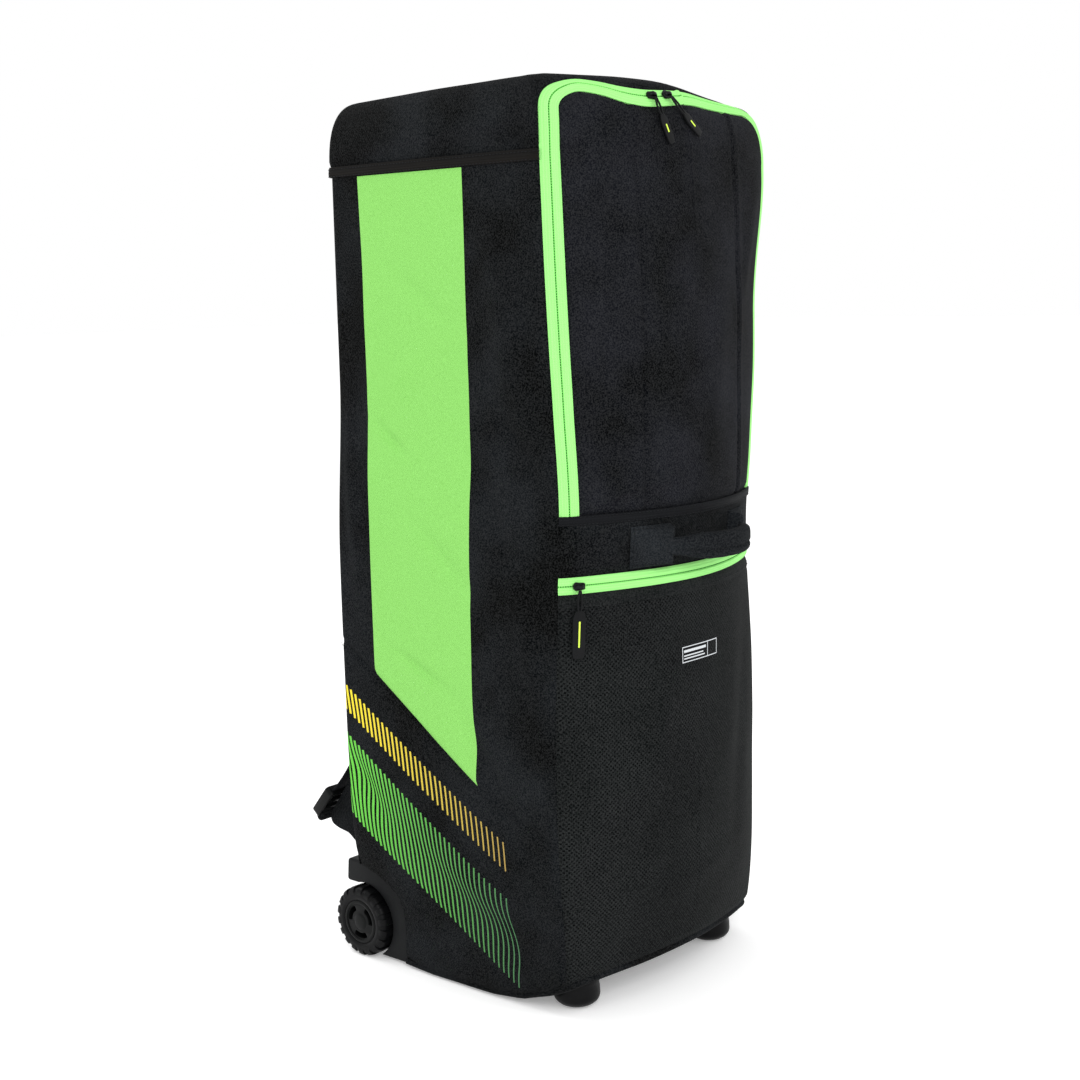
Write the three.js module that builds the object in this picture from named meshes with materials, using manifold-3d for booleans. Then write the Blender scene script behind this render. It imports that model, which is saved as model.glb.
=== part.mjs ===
// A wheeled cricket kit bag, standing on two wheels and two rubber feet.
// +X is across the bag, the front with its flap and pocket faces -Y, and +Z is up.
import * as THREE from "three";
import { mergeVertices } from "three/addons/utils/BufferGeometryUtils.js";
import Module from "manifold-3d";

const wasm = await Module();
wasm.setup();

// Driving dimensions in millimetres: body
const halfWidth = 170;
const frontSeamDepth = 138;
const backSeamDepth = 151;
const crownDepth = 50;
const backCrown = 3;
const sidePuff = 3;
const cornerRadius = 14;
const capSeamHeight = 829;
const capRiseBack = 51;
const capRiseFront = 75;
const topCrown = 4;
const capEdgeInset = 34;
const capFrontInset = 46;
const capClimb = 90;
const capSquareness = 2.4;
const baseLift = 44;
const tuckRise = 14;
const tuckInset = 12;
const tuckClimb = 22;
const wall = 2.5;
const gap = 0.3;

// Seams, zips and bindings
const flapBottom = 497;
const bandBottom = 441;
const pocketTop = 422;
const slantSeamFront = 185;
const slantSeamBack = 338;
const zipWidth = 29;
const zipTop = 903;
const zipCornerRadius = 48;
const bindingWidth = 8;
const bindingThickness = 1.5;

// Sliders and pullers
const sliderLength = 12;
const sliderWidth = 9;
const sliderHeight = 4;
const pullerWidth = 5;
const pullerThickness = 2;
const flapPullerLift = 5.5;
const pullerClear = 1;
const pocketTabWidth = 11;
const pocketTabLength = 40;
const pocketCordLength = 18;

// Front carry handle
const handleHeight = 463;
const handleReach = 32;
const gripHalfSpan = 66;
const gripWidth = 28;
const gripThickness = 14;
const patchWidth = 30;
const patchHeight = 40;
const patchThickness = 3.5;

// Wheels, their corner housings and the front feet
const wheelRadius = 38;
const tyreWidth = 25;
const lugCount = 18;
const lugDepth = 1.6;
const hubRadius = 23.6;
const slotCount = 3;
const slotWidth = 4.8;
const slotTurn = Math.PI / 3;
const axleRadius = 4;
const runningGap = 0.4;
const wheelAxisDepth = 152;
const wheelOuterFace = 165;
const housingOuterFace = 154;
const housingDepth = 24;
const housingFront = 72;
const housingTop = 110;
const housingBottom = 9;
const housingBack = 160;
const archGap = 2.5;
const footRadius = 23.5;
const footHeight = 34;
const footX = 115;
const footY = -111;

// Backpack straps
const strapWidth = 60;
const strapThickness = 12;
const strapReach = 24;
const strapTop = 800;
const strapBottom = 335;
const webbingWidth = 25;
const webbingThickness = 2;
const buckleWidth = 34;
const buckleLength = 42;
const buckleThickness = 11;
const buckleX = 150;
const buckleY = 203;
const buckleZ = 162;
const buckleLean = 0.7;
const gussetThickness = 3;

// Horizontal sections of the walls. height is a share of the cap seam height, width and frontWidth are
// shares of the half width at the back and front corners, front of the front seam depth, and crown of
// the crown depth of the front.
const wallSections = [
  { height: 0.0, width: 0.93, frontWidth: 0.91, front: 0.93, crown: 0.55 },
  { height: 0.05, width: 0.94, frontWidth: 0.93, front: 0.96, crown: 0.66 },
  { height: 0.13, width: 0.97, frontWidth: 0.96, front: 1.0, crown: 0.84 },
  { height: 0.25, width: 1.0, frontWidth: 0.98, front: 1.0, crown: 0.92 },
  { height: 0.38, width: 1.0, frontWidth: 0.97, front: 1.0, crown: 0.92 },
  { height: 0.51, width: 1.0, frontWidth: 0.93, front: 1.0, crown: 0.9 },
  { height: 0.6, width: 1.0, frontWidth: 0.92, front: 1.0, crown: 0.98 },
  { height: 0.72, width: 1.0, frontWidth: 0.97, front: 0.985, crown: 1.02 },
  { height: 0.85, width: 1.0, frontWidth: 1.0, front: 0.97, crown: 1.04 },
  { height: 1.0, width: 1.0, frontWidth: 1.0, front: 0.94, crown: 0.94 },
];

// Height of the base, as shares of its lift at the front edge. depth is a share of the front seam depth
// ahead of the middle, and of the back seam depth behind it.
const baseSections = [
  { depth: -1.3, height: 1.0 },
  { depth: -1.0, height: 0.75 },
  { depth: -0.8, height: 0.66 },
  { depth: -0.58, height: 0.45 },
  { depth: -0.28, height: 0.2 },
  { depth: 0.3, height: 0.18 },
  { depth: 1.1, height: 0.3 },
];

// Side view of a wheel housing. depth and height are shares between its front and back, bottom and top.
const housingOutline = [
  { depth: 0.03, height: 0.0 },
  { depth: 0.0, height: 0.55 },
  { depth: 0.05, height: 0.76 },
  { depth: 0.3, height: 0.96 },
  { depth: 0.55, height: 1.0 },
  { depth: 1.0, height: 1.0 },
  { depth: 1.0, height: 0.0 },
];

// Side view of a shoulder strap. drop is a share of its height, reach of how far it stands off the back,
// and spread a share of the way from its top to its lower end sideways.
const strapRoute = [
  { drop: 0.0, reach: 0.0, spread: 0.0 },
  { drop: 0.08, reach: 0.05, spread: 0.05 },
  { drop: 0.3, reach: 0.8, spread: 0.3 },
  { drop: 0.55, reach: 1.0, spread: 0.6 },
  { drop: 0.8, reach: 0.6, spread: 0.85 },
  { drop: 1.0, reach: 0.2, spread: 1.0 },
];
const strapTopX = 58;
const strapBottomX = 108;

// Heights where a strap gusset leaves the back. Its upper edge bends at a share of the way out to the
// buckle and at a share of the way up to its higher root.
const gussetRootLow = 118;
const gussetRootHigh = 196;
const gussetBendOut = 0.45;
const gussetBendUp = 0.8;
// The share of its thickness that a buckle is entered by the webbing.
const webbingEntry = 0.35;

// Two places along each half of the grip: shares of its half span across and of its reach outwards.
const gripNearAcross = 0.72;
const gripNearReach = 0.35;
const gripSideAcross = 0.38;
const gripSideReach = 0.9;

const fabric = new THREE.MeshStandardMaterial({ color: 0x1b1d20, roughness: 0.9 });
const blackMesh = new THREE.MeshStandardMaterial({ color: 0x1d1f21, roughness: 0.85 });
const greenTape = new THREE.MeshStandardMaterial({ color: 0x7dee62, roughness: 0.8 });
const webbingBlack = new THREE.MeshStandardMaterial({ color: 0x131415, roughness: 0.85 });
const blackPlastic = new THREE.MeshStandardMaterial({ color: 0x151617, roughness: 0.45 });
const blackRubber = new THREE.MeshStandardMaterial({ color: 0x101112, roughness: 0.75 });
const blackMetal = new THREE.MeshStandardMaterial({ color: 0x18191a, roughness: 0.35, metalness: 0.8 });

const lerp = THREE.MathUtils.lerp;
const clamp = THREE.MathUtils.clamp;

// The value of a table's column at a place along its key column.
function lookUp(table, key, column, place) {
  if (place <= table[0][key]) return table[0][column];
  for (let i = 1; i < table.length; i++) {
    const before = table[i - 1];
    const after = table[i];
    if (place <= after[key]) {
      const share = (place - before[key]) / (after[key] - before[key]);
      return lerp(before[column], after[column], share);
    }
  }
  return table[table.length - 1][column];
}

// Two quadratic curves that round a corner, cut at its middle.
function roundedCorner(start, corner, end) {
  const a = start.clone().lerp(corner, 0.5);
  const b = corner.clone().lerp(end, 0.5);
  const middle = a.clone().lerp(b, 0.5);
  return [
    new THREE.QuadraticBezierCurve(start, a, middle),
    new THREE.QuadraticBezierCurve(middle, b, end),
  ];
}

function pathOf(...curves) {
  const path = new THREE.CurvePath();
  curves.forEach((curve) => {
    curve.arcLengthDivisions = 16;
    path.add(curve);
  });
  return path;
}

// The right half of the horizontal outline at a height, as its front, side and back stretch.
const outlines = new Map();
function outlineAt(height) {
  const known = outlines.get(height);
  if (known) return known;
  const section = (column) => lookUp(wallSections, "height", column, height / capSeamHeight);
  const width = halfWidth * section("width");
  const frontWidth = halfWidth * section("frontWidth");
  const front = -frontSeamDepth * section("front");
  const crown = crownDepth * section("crown");
  const back = backSeamDepth;
  const crownEnd = 1 - cornerRadius / frontWidth;
  const frontMiddle = new THREE.Vector2(0, front - crown);
  const frontCorner = new THREE.Vector2(frontWidth, front);
  const crownControl = new THREE.Vector2(frontWidth / 2, front - crown);
  const crownCurve = new THREE.QuadraticBezierCurve(frontMiddle, crownControl, frontCorner);
  const crownStop = crownCurve.getPoint(crownEnd);
  const sideStart = new THREE.Vector2(lerp(frontWidth, width, 0.1), front + cornerRadius);
  const sideStop = new THREE.Vector2(width, back - cornerRadius);
  const sideControl = new THREE.Vector2(width + 2 * sidePuff, lerp(front, back, 0.35));
  const backStart = new THREE.Vector2(width - cornerRadius, back);
  const backMiddle = new THREE.Vector2(0, back + backCrown);
  const backControl = new THREE.Vector2(width / 2, back + backCrown);
  const frontRound = roundedCorner(crownStop, frontCorner, sideStart);
  const backRound = roundedCorner(sideStop, new THREE.Vector2(width, back), backStart);
  const crownPart = new THREE.QuadraticBezierCurve(
    frontMiddle,
    frontMiddle.clone().lerp(crownControl, crownEnd),
    crownStop,
  );
  const outline = [
    pathOf(crownPart, frontRound[0]),
    pathOf(frontRound[1], new THREE.QuadraticBezierCurve(sideStart, sideControl, sideStop), backRound[0]),
    pathOf(backRound[1], new THREE.QuadraticBezierCurve(backStart, backControl, backMiddle)),
  ];
  outlines.set(height, outline);
  return outline;
}

// Height of the underside of the base at a depth.
function baseHeight(depth) {
  const share = depth < 0 ? depth / frontSeamDepth : depth / backSeamDepth;
  return baseLift * lookUp(baseSections, "depth", "height", share);
}

// Stations run round the bag: 0 at the front middle, 1 at a front corner, 2 at a back corner and 3 at the
// back middle, negative on the left.
const roundBack = (turn) => (Math.abs(turn) <= 3 ? turn : turn - 6 * Math.sign(turn));

function wallPlace(turn, height) {
  const station = roundBack(turn);
  const right = Math.abs(station);
  const stretch = Math.min(2, Math.floor(right));
  const flat = outlineAt(height)[stretch].getPoint(clamp(right - stretch, 0, 1 - 1e-9));
  return new THREE.Vector2(Math.sign(station) * flat.x, flat.y);
}

const footEdges = new Map();
function wallFoot(station) {
  const key = Math.abs(roundBack(station));
  if (!footEdges.has(key)) {
    const place = wallPlace(key, baseLift);
    footEdges.set(key, baseHeight(place.y) + tuckRise);
  }
  return footEdges.get(key);
}

// The rounded edge of the cap: how far in and up it is at a share of its climb.
function roundEdge(share) {
  const angle = (clamp(share, 0, 1) * Math.PI) / 2;
  const power = 2 / capSquareness;
  return { inward: 1 - Math.cos(angle) ** power, upward: Math.sin(angle) ** power };
}

// A point of the bag's outer surface. climb is the height on the walls, then goes on over the cap's
// rounded edge to its middle, and below the walls round the base's edge to its middle.
function skin(station, climb) {
  const foot = wallFoot(station);
  const height = clamp(climb, foot, capSeamHeight);
  const flat = wallPlace(station, height);
  if (climb > capSeamHeight) {
    const over = (climb - capSeamHeight) / capClimb;
    const edge = roundEdge(over);
    const depth = flat.y < 0 ? frontSeamDepth + crownDepth : backSeamDepth;
    const inset = flat.y < 0 ? lerp(capEdgeInset, capFrontInset, clamp(-flat.y / depth, 0, 1)) : capEdgeInset;
    const inner = over > 1 ? Math.max(0, 2 - over) : 1;
    const x = flat.x * (1 - (capEdgeInset * edge.inward) / halfWidth) * inner;
    const y = flat.y * (1 - (inset * edge.inward) / depth) * inner;
    const forward = (backSeamDepth - y) / (backSeamDepth + frontSeamDepth);
    const rise = lerp(capRiseBack, capRiseFront, clamp(forward, 0, 1));
    const z = capSeamHeight + rise * edge.upward + topCrown * (1 - inner * inner);
    return new THREE.Vector3(x, y, z);
  }
  if (climb < foot) {
    const under = (foot - climb) / tuckClimb;
    const angle = (Math.min(under, 1) * Math.PI) / 2;
    const inner = under > 1 ? Math.max(0, 2 - under) : 1;
    const shrink = 1 - (tuckInset * (1 - Math.cos(angle))) / halfWidth;
    const x = flat.x * shrink * inner;
    const y = flat.y * shrink * inner;
    const edgeHeight = baseHeight(y) + (foot - baseHeight(flat.y)) * (1 - Math.sin(angle));
    return new THREE.Vector3(x, y, edgeHeight);
  }
  return new THREE.Vector3(flat.x, flat.y, height);
}

// Outward direction of the surface, with the directions along a station and a climb. In the middle of the
// cap and of the base all stations meet, and outwards is straight up or down.
function skinFrame(station, climb) {
  const atTop = climb >= capSeamHeight + 2 * capClimb;
  if (atTop || climb <= wallFoot(station) - 2 * tuckClimb) {
    return { out: new THREE.Vector3(0, 0, atTop ? 1 : -1) };
  }
  const step = 0.004;
  const along = skin(station + step, climb).sub(skin(station - step, climb));
  const upward = skin(station, climb + 0.5).sub(skin(station, climb - 0.5));
  const out = along.clone().cross(upward).normalize();
  const right = along.normalize();
  return { right, out, up: right.clone().cross(out).negate() };
}

function above(station, climb, lift) {
  return skin(station, climb).addScaledVector(skinFrame(station, climb).out, lift);
}

// A closed solid between an outer and an inner grid of points. A ring closes on its first column.
function solidBetween(outer, inner, ring = false) {
  const ids = new Map();
  const positions = [];
  const index = [];
  const idOf = (p) => {
    const key = [p.x, p.y, p.z].map((v) => Math.round(v * 1000)).join();
    if (!ids.has(key)) {
      ids.set(key, ids.size);
      positions.push(p.x, p.y, p.z);
    }
    return ids.get(key);
  };
  const triangle = (a, b, c) => {
    const corners = [a, b, c].map(idOf);
    if (new Set(corners).size === 3) index.push(...corners);
  };
  const quad = (a, b, c, d) => {
    triangle(a, b, c);
    triangle(a, c, d);
  };
  const lastRow = outer.length - 1;
  const columns = outer[0].length;
  const steps = ring ? columns : columns - 1;
  for (let c = 0; c < steps; c++) {
    const n = (c + 1) % columns;
    for (let r = 0; r < lastRow; r++) {
      quad(outer[r][c], outer[r][n], outer[r + 1][n], outer[r + 1][c]);
      quad(inner[r][c], inner[r + 1][c], inner[r + 1][n], inner[r][n]);
    }
    quad(outer[0][c], inner[0][c], inner[0][n], outer[0][n]);
    quad(outer[lastRow][c], outer[lastRow][n], inner[lastRow][n], inner[lastRow][c]);
  }
  if (!ring) {
    const e = columns - 1;
    for (let r = 0; r < lastRow; r++) {
      quad(outer[r][0], outer[r + 1][0], inner[r + 1][0], inner[r][0]);
      quad(outer[r][e], inner[r][e], inner[r + 1][e], outer[r + 1][e]);
    }
  }
  const geometry = new THREE.BufferGeometry();
  geometry.setAttribute("position", new THREE.Float32BufferAttribute(positions, 3));
  geometry.setIndex(index);
  return geometry;
}

function shares(count) {
  return Array.from({ length: count + 1 }, (_, i) => i / count);
}

// Where columns of points stand along the front, the side and the back of the half outline, closer
// together round the corners, so that neighbouring sheets have the same facets.
const frontStops = [0, 0.18, 0.36, 0.54, 0.7, 0.84, 0.92, 0.96, 1];
const sideStops = [0, 0.023, 0.046, 0.2, 0.4, 0.6, 0.8, 0.954, 0.977, 1];
const backStops = [0, 0.04, 0.08, 0.3, 0.55, 0.8, 1];
const seamShare = gap / backSeamDepth;
const inSeam = (share) => clamp(share, seamShare, 1 - seamShare);
const mirrored = (stations) => [...stations.map((s) => -s).reverse(), ...stations];
const distinct = (stations) => stations.filter((s, i, all) => s !== all[i - 1]);
const frontStations = distinct(mirrored(frontStops.map((t) => Math.min(t, 1 - seamShare))));
const sideStations = sideStops.map((t) => 1 + inSeam(t));
const backHalf = backStops.map((t) => 2 + Math.max(t, seamShare));
const backStations = [...backHalf, ...backHalf.slice(0, -1).map((s) => 6 - s).reverse()].map(roundBack);
const allStations = [
  ...mirrored(frontStops.slice(1)).slice(0, frontStops.length - 1),
  ...frontStops,
  ...sideStops.slice(1).map((t) => 1 + t),
  ...backStops.slice(1).map((t) => 2 + t),
  ...[...backStops].slice(1, -1).map((t) => -2 - t).reverse(),
  ...sideStops.slice(1).map((t) => -1 - t).reverse(),
];

// A sheet on the bag's surface. place turns a share across and a share up into a station and a climb, and
// the sheet lies from lift down to a thickness below it.
function sheet(place, across, upward, { thickness = wall, lift = 0, ring = false } = {}) {
  const grid = (level) =>
    upward.map((t) => across.map((u) => above(...place(u, t), level)));
  return solidBetween(grid(lift), grid(lift - thickness), ring);
}

// Solids for cutting and joining
function toSolid(geometry) {
  const plain = geometry.clone();
  plain.deleteAttribute("normal");
  plain.deleteAttribute("uv");
  const merged = mergeVertices(plain, 1e-3);
  return new wasm.Manifold(
    new wasm.Mesh({
      numProp: 3,
      vertProperties: Float32Array.from(merged.attributes.position.array),
      triVerts: Uint32Array.from(merged.index.array),
    }),
  );
}

function toGeometry(solid) {
  const data = solid.getMesh();
  const geometry = new THREE.BufferGeometry();
  geometry.setAttribute("position", new THREE.BufferAttribute(data.vertProperties.slice(), 3));
  geometry.setIndex(new THREE.BufferAttribute(data.triVerts.slice(), 1));
  return geometry;
}

function cut(geometry, ...tools) {
  return toGeometry(tools.reduce((solid, tool) => solid.subtract(toSolid(tool)), toSolid(geometry)));
}

function join(geometry, ...others) {
  return toGeometry(others.reduce((solid, other) => solid.add(toSolid(other)), toSolid(geometry)));
}

// A box between two corners.
function boxBetween(low, high) {
  const size = high.clone().sub(low);
  const middle = low.clone().add(high).multiplyScalar(0.5);
  return new THREE.BoxGeometry(size.x, size.y, size.z).translate(middle.x, middle.y, middle.z);
}

// A cylinder along X from one place to another.
function cylinderAlongX(radius, from, to, depth, height, sides = 48) {
  return new THREE.CylinderGeometry(radius, radius, Math.abs(to - from), sides)
    .rotateZ(Math.PI / 2)
    .translate((from + to) / 2, depth, height);
}

// The zip of the flap: the climb and station of a line at a distance inside the tape's outer edge.
const frontLength = (climb) => outlineAt(Math.min(climb, capSeamHeight))[0].getLength();
const zipLegTop = zipTop - zipCornerRadius;

function zipLegStation(inside, climb) {
  return 1 - inside / frontLength(climb);
}

// The line's points over the top, from the left leg's upper end to the right one's.
function zipArch(inside) {
  const length = frontLength(zipTop);
  const radius = zipCornerRadius - inside;
  const half = length - inside;
  const bends = 6;
  const corner = shares(bends).map((t) => {
    const angle = (t * Math.PI) / 2;
    return { a: half - radius + radius * Math.cos(angle), v: zipLegTop + radius * Math.sin(angle) };
  });
  const right = corner.map((p) => [p.a / length, p.v]);
  const flat = 10;
  const straight = shares(flat)
    .slice(1, -1)
    .map((t) => [lerp(half - radius, radius - half, t) / length, zipLegTop + radius]);
  const left = corner.map((p) => [-p.a / length, p.v]);
  return [...left, ...straight.reverse(), ...right.reverse()];
}

// Cloth panels
const upright = (low, high) => (station, t) => [station, lerp(low(station), high(station), t)];

function sidePanel(side, low, high, rows) {
  const stations = side > 0 ? sideStations : sideStations.map((s) => -s).reverse();
  return sheet(upright(low, high), stations, shares(rows));
}

const slantSeam = (station) => lerp(slantSeamFront, slantSeamBack, Math.abs(station) - 1);

function sideUpper(side) {
  return sidePanel(side, (s) => slantSeam(s) + gap / 2, () => capSeamHeight - gap / 2, 8);
}

// The corner of the cloth that a wheel housing takes up.
function housingRoom(side) {
  const inner = side * (housingOuterFace - housingDepth - gap);
  const outer = side * halfWidth * 1.2;
  return boxBetween(
    new THREE.Vector3(Math.min(inner, outer), housingFront - gap, -baseLift),
    new THREE.Vector3(Math.max(inner, outer), housingBack + gap, housingTop + gap),
  );
}

function sideLower(side) {
  const cloth = sidePanel(side, (s) => wallFoot(s) + gap / 2, (s) => slantSeam(s) - gap / 2, 5);
  return cut(cloth, housingRoom(side));
}

function backPanel() {
  const place = upright((s) => wallFoot(s) + gap / 2, () => capSeamHeight - gap / 2);
  return cut(sheet(place, backStations, shares(8)), housingRoom(-1), housingRoom(1));
}

function frontSheet(low, high, rows, options) {
  return sheet(upright(low, high), frontStations, shares(rows), options);
}

// Rows of the base from its middle to its edge, in turns of the tucked edge's climb.
const baseRows = [2, 1.7, 1.35, 1, 0.5, 0];
const basePlace = (station, turns) => [station, wallFoot(station) - Math.max(gap / 2, turns * tuckClimb)];

function basePanel() {
  const cloth = sheet(basePlace, allStations, baseRows, { ring: true });
  return cut(cloth, housingRoom(-1), housingRoom(1));
}

// Everything above the base's underside, for trimming what stands below it.
function aboveBase() {
  const grid = (raise) =>
    baseRows.map((turns) =>
      allStations.map((s) => skin(...basePlace(s, turns)).add(new THREE.Vector3(0, 0, raise))),
    );
  return solidBetween(grid(-gap), grid(baseLift), true);
}

function topCap() {
  const arch = zipArch(-gap);
  const seam = capSeamHeight + gap / 2;
  const behind = [...sideStops.slice(1).map((t) => 1 + t), ...backStops.slice(1, -1).map((t) => 2 + t)];
  const edge = [
    ...behind.map((s) => [-s, seam]).reverse(),
    ...arch,
    ...behind.map((s) => [s, seam]),
    [3, seam],
  ];
  const middle = capSeamHeight + 2 * capClimb;
  const place = (column, t) => [column[0], lerp(column[1], middle, t)];
  return sheet(place, edge, [0, 0.12, 0.24, 0.36, 0.5, 0.75, 1], { ring: true });
}

function flapPanel() {
  const arch = zipArch(zipWidth + gap);
  const widest = arch[arch.length - 1][0];
  const place = (column, t) => {
    const climb = lerp(flapBottom + gap / 2, column[1], t);
    return [(column[0] / widest) * zipLegStation(zipWidth + gap, climb), climb];
  };
  return sheet(place, arch, shares(8));
}

function flapZipTape() {
  const inside = [gap, zipWidth / 2, zipWidth];
  const legs = shares(8).slice(0, -1).map((t) => lerp(flapBottom + gap / 2, zipLegTop, t));
  const lines = inside.map((d) => {
    const left = legs.map((v) => [-zipLegStation(d, v), v]);
    const right = legs.map((v) => [zipLegStation(d, v), v]).reverse();
    return [...left, ...zipArch(d), ...right];
  });
  const rows = lines[0].map((_, r) => r);
  return sheet((column, row) => lines[column][row], [0, 1, 2], rows);
}

const bindingLift = { lift: bindingThickness + gap, thickness: bindingThickness };

function capBinding() {
  const right = [...sideStops.slice(1).map((t) => 1 + t), ...backStops.slice(1).map((t) => 2 + t)];
  const stations = [...right, ...right.slice(0, -1).map((s) => -s).reverse()];
  const place = upright(() => capSeamHeight - bindingWidth / 2, () => capSeamHeight + bindingWidth / 2);
  return sheet(place, stations, [0, 1], bindingLift);
}

function bandBinding() {
  return frontSheet(() => flapBottom - bindingWidth, () => flapBottom, 1, bindingLift);
}

// Fittings
function named(name, geometry, material) {
  const mesh = new THREE.Mesh(geometry, material);
  mesh.name = name;
  return mesh;
}

// Seats a mesh on the surface, its X along the station, its Z up the climb and its -Y outwards.
function seat(mesh, station, climb, lift) {
  const frame = skinFrame(station, climb);
  const basis = new THREE.Matrix4().makeBasis(frame.right, frame.out.clone().negate(), frame.up);
  mesh.quaternion.setFromRotationMatrix(basis);
  mesh.position.copy(above(station, climb, lift));
  return mesh;
}

// A flat bar from one place to another, its broad side along the given direction.
function barBetween(name, from, to, width, thickness, broad, material) {
  const axis = to.clone().sub(from);
  const bar = named(name, new THREE.BoxGeometry(width, thickness, axis.length()), material);
  const up = axis.normalize();
  const flat = up.clone().cross(broad).normalize();
  bar.quaternion.setFromRotationMatrix(new THREE.Matrix4().makeBasis(flat.clone().cross(up), flat, up));
  bar.position.copy(from).add(to).multiplyScalar(0.5);
  return bar;
}

// Main zip: places across of each slider and of its puller's end, and how far the puller hangs down.
const sliderPlaces = [
  { name: "left", slider: -18, pullerEnd: -32, drop: 52 },
  { name: "right", slider: 10, pullerEnd: 8, drop: 48 },
];

function flapSliders(group) {
  const climb = zipTop - zipWidth / 2;
  const length = frontLength(climb);
  sliderPlaces.forEach((row) => {
    const body = new THREE.BoxGeometry(sliderWidth, sliderHeight, sliderLength);
    const slider = named(`flap_slider_${row.name}`, body, blackMetal);
    group.add(seat(slider, row.slider / length, climb, gap + sliderHeight / 2));
    const start = climb - sliderLength / 2 - pullerClear;
    const from = above(row.slider / length, start, flapPullerLift);
    const to = above(row.pullerEnd / length, climb - row.drop, flapPullerLift - pullerThickness);
    const broad = new THREE.Vector3(1, 0, 0);
    const name = `flap_puller_${row.name}`;
    group.add(barBetween(name, from, to, pullerWidth, pullerThickness, broad, blackRubber));
  });
}

// The pocket zip's slider stands near the left end, at this share of half the front.
const pocketSliderStation = -0.88;

function pocketSlider(group) {
  const climb = (bandBottom + pocketTop) / 2;
  const station = pocketSliderStation;
  const body = new THREE.BoxGeometry(sliderLength, sliderHeight, sliderWidth);
  group.add(seat(named("pocket_slider", body, blackMetal), station, climb, gap + sliderHeight / 2));
  const tab = new THREE.BoxGeometry(pocketTabWidth, pullerThickness, pocketTabLength);
  const cord = new THREE.BoxGeometry(pullerWidth, pullerThickness, pocketCordLength + 1);
  cord.translate(0, 0, (pocketTabLength + pocketCordLength - 1) / 2);
  const puller = named("pocket_puller", join(tab, cord), blackRubber);
  const top = climb - sliderWidth / 2 - gap;
  group.add(seat(puller, station, top - pocketCordLength - pocketTabLength / 2, gap + pullerThickness));
}

// A strap along a curve, with round edges. broad is the direction across it.
function strapAlong(curve, broad, width, thickness, steps) {
  const half = thickness / 2;
  const edge = shares(3).map((t) => (t * Math.PI) / 2);
  const right = edge.map((angle) => ({
    aside: width / 2 - half + half * Math.sin(angle),
    rise: half * Math.cos(angle),
  }));
  const left = right.map((p) => ({ aside: -p.aside, rise: p.rise })).reverse();
  const grid = (sign) =>
    shares(steps).map((t) => {
      const along = curve.getTangentAt(t);
      const across = broad.clone().addScaledVector(along, -broad.dot(along)).normalize();
      const out = across.clone().cross(along);
      return [...left, ...right].map((p) =>
        curve.getPointAt(t).addScaledVector(across, p.aside).addScaledVector(out, sign * p.rise),
      );
    });
  return solidBetween(grid(1), grid(-1));
}

function carryHandle(group) {
  const length = frontLength(handleHeight);
  const station = gripHalfSpan / length;
  const seatLift = patchThickness + 2 * gap + gripThickness / 2;
  const end = above(station, handleHeight, seatLift);
  const near = above(station * gripNearAcross, handleHeight, seatLift + handleReach * gripNearReach);
  const middle = above(0, handleHeight, gap + handleReach);
  const mirror = (p) => new THREE.Vector3(-p.x, p.y, p.z);
  const side = above(station * gripSideAcross, handleHeight, gap + handleReach * gripSideReach);
  const half = [end, near, side];
  const route = new THREE.CatmullRomCurve3([...half.map(mirror), middle, ...half.slice().reverse()]);
  const grip = strapAlong(route, new THREE.Vector3(0, 0, 1), gripWidth, gripThickness, 12);
  group.add(named("carry_handle", grip, webbingBlack));
  [["left", -1], ["right", 1]].forEach(([name, sign]) => {
    const low = handleHeight - patchHeight / 2;
    const place = (u, t) => [
      (sign * gripHalfSpan + lerp(-patchWidth / 2, patchWidth / 2, u)) / length,
      low + t * patchHeight,
    ];
    const options = { lift: patchThickness + gap, thickness: patchThickness };
    group.add(named(`handle_patch_${name}`, sheet(place, shares(3), shares(2), options), fabric));
  });
}

// Corner housing with its arch and axle, and the foot
function housing(side) {
  const outline = new THREE.Shape(
    housingOutline.map(
      (row) =>
        new THREE.Vector2(
          lerp(housingFront, housingBack, row.depth),
          lerp(housingBottom, housingTop, row.height),
        ),
    ),
  );
  const inner = housingOuterFace - housingDepth;
  const turn = new THREE.Matrix4().makeBasis(
    new THREE.Vector3(0, 1, 0),
    new THREE.Vector3(0, 0, 1),
    new THREE.Vector3(1, 0, 0),
  );
  const place = side > 0 ? inner : -housingOuterFace;
  const block = new THREE.ExtrudeGeometry(outline, { depth: housingDepth, bevelEnabled: false });
  block.applyMatrix4(turn).translate(place, 0, 0);
  const archDepth = wheelOuterFace - tyreWidth - archGap;
  const arch = cylinderAlongX(
    wheelRadius + archGap,
    side * archDepth,
    side * 2 * halfWidth,
    wheelAxisDepth,
    wheelRadius,
    64,
  );
  const axle = cylinderAlongX(
    axleRadius,
    side * (archDepth - 1),
    side * (wheelOuterFace - 1),
    wheelAxisDepth,
    wheelRadius,
    32,
  );
  return join(cut(block, arch), axle);
}

function foot() {
  const edge = 4;
  const profile = [
    new THREE.Vector2(0, 0),
    new THREE.Vector2(footRadius - 3 * edge, 0),
    new THREE.Vector2(footRadius - 1.5 * edge, edge * 0.5),
    new THREE.Vector2(footRadius - edge / 2, edge * 1.5),
    new THREE.Vector2(footRadius, edge * 3.2),
    new THREE.Vector2(footRadius, footHeight),
    new THREE.Vector2(0, footHeight),
  ];
  return new THREE.LatheGeometry(profile, 24).rotateX(Math.PI / 2);
}

// Wheels
const onCircle = (radius, turn) => new THREE.Vector2(radius * Math.cos(turn), radius * Math.sin(turn));

// Points of an arc, its angles in radians.
const arc = (radius, from, to, steps) => shares(steps).map((t) => onCircle(radius, lerp(from, to, t)));

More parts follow.
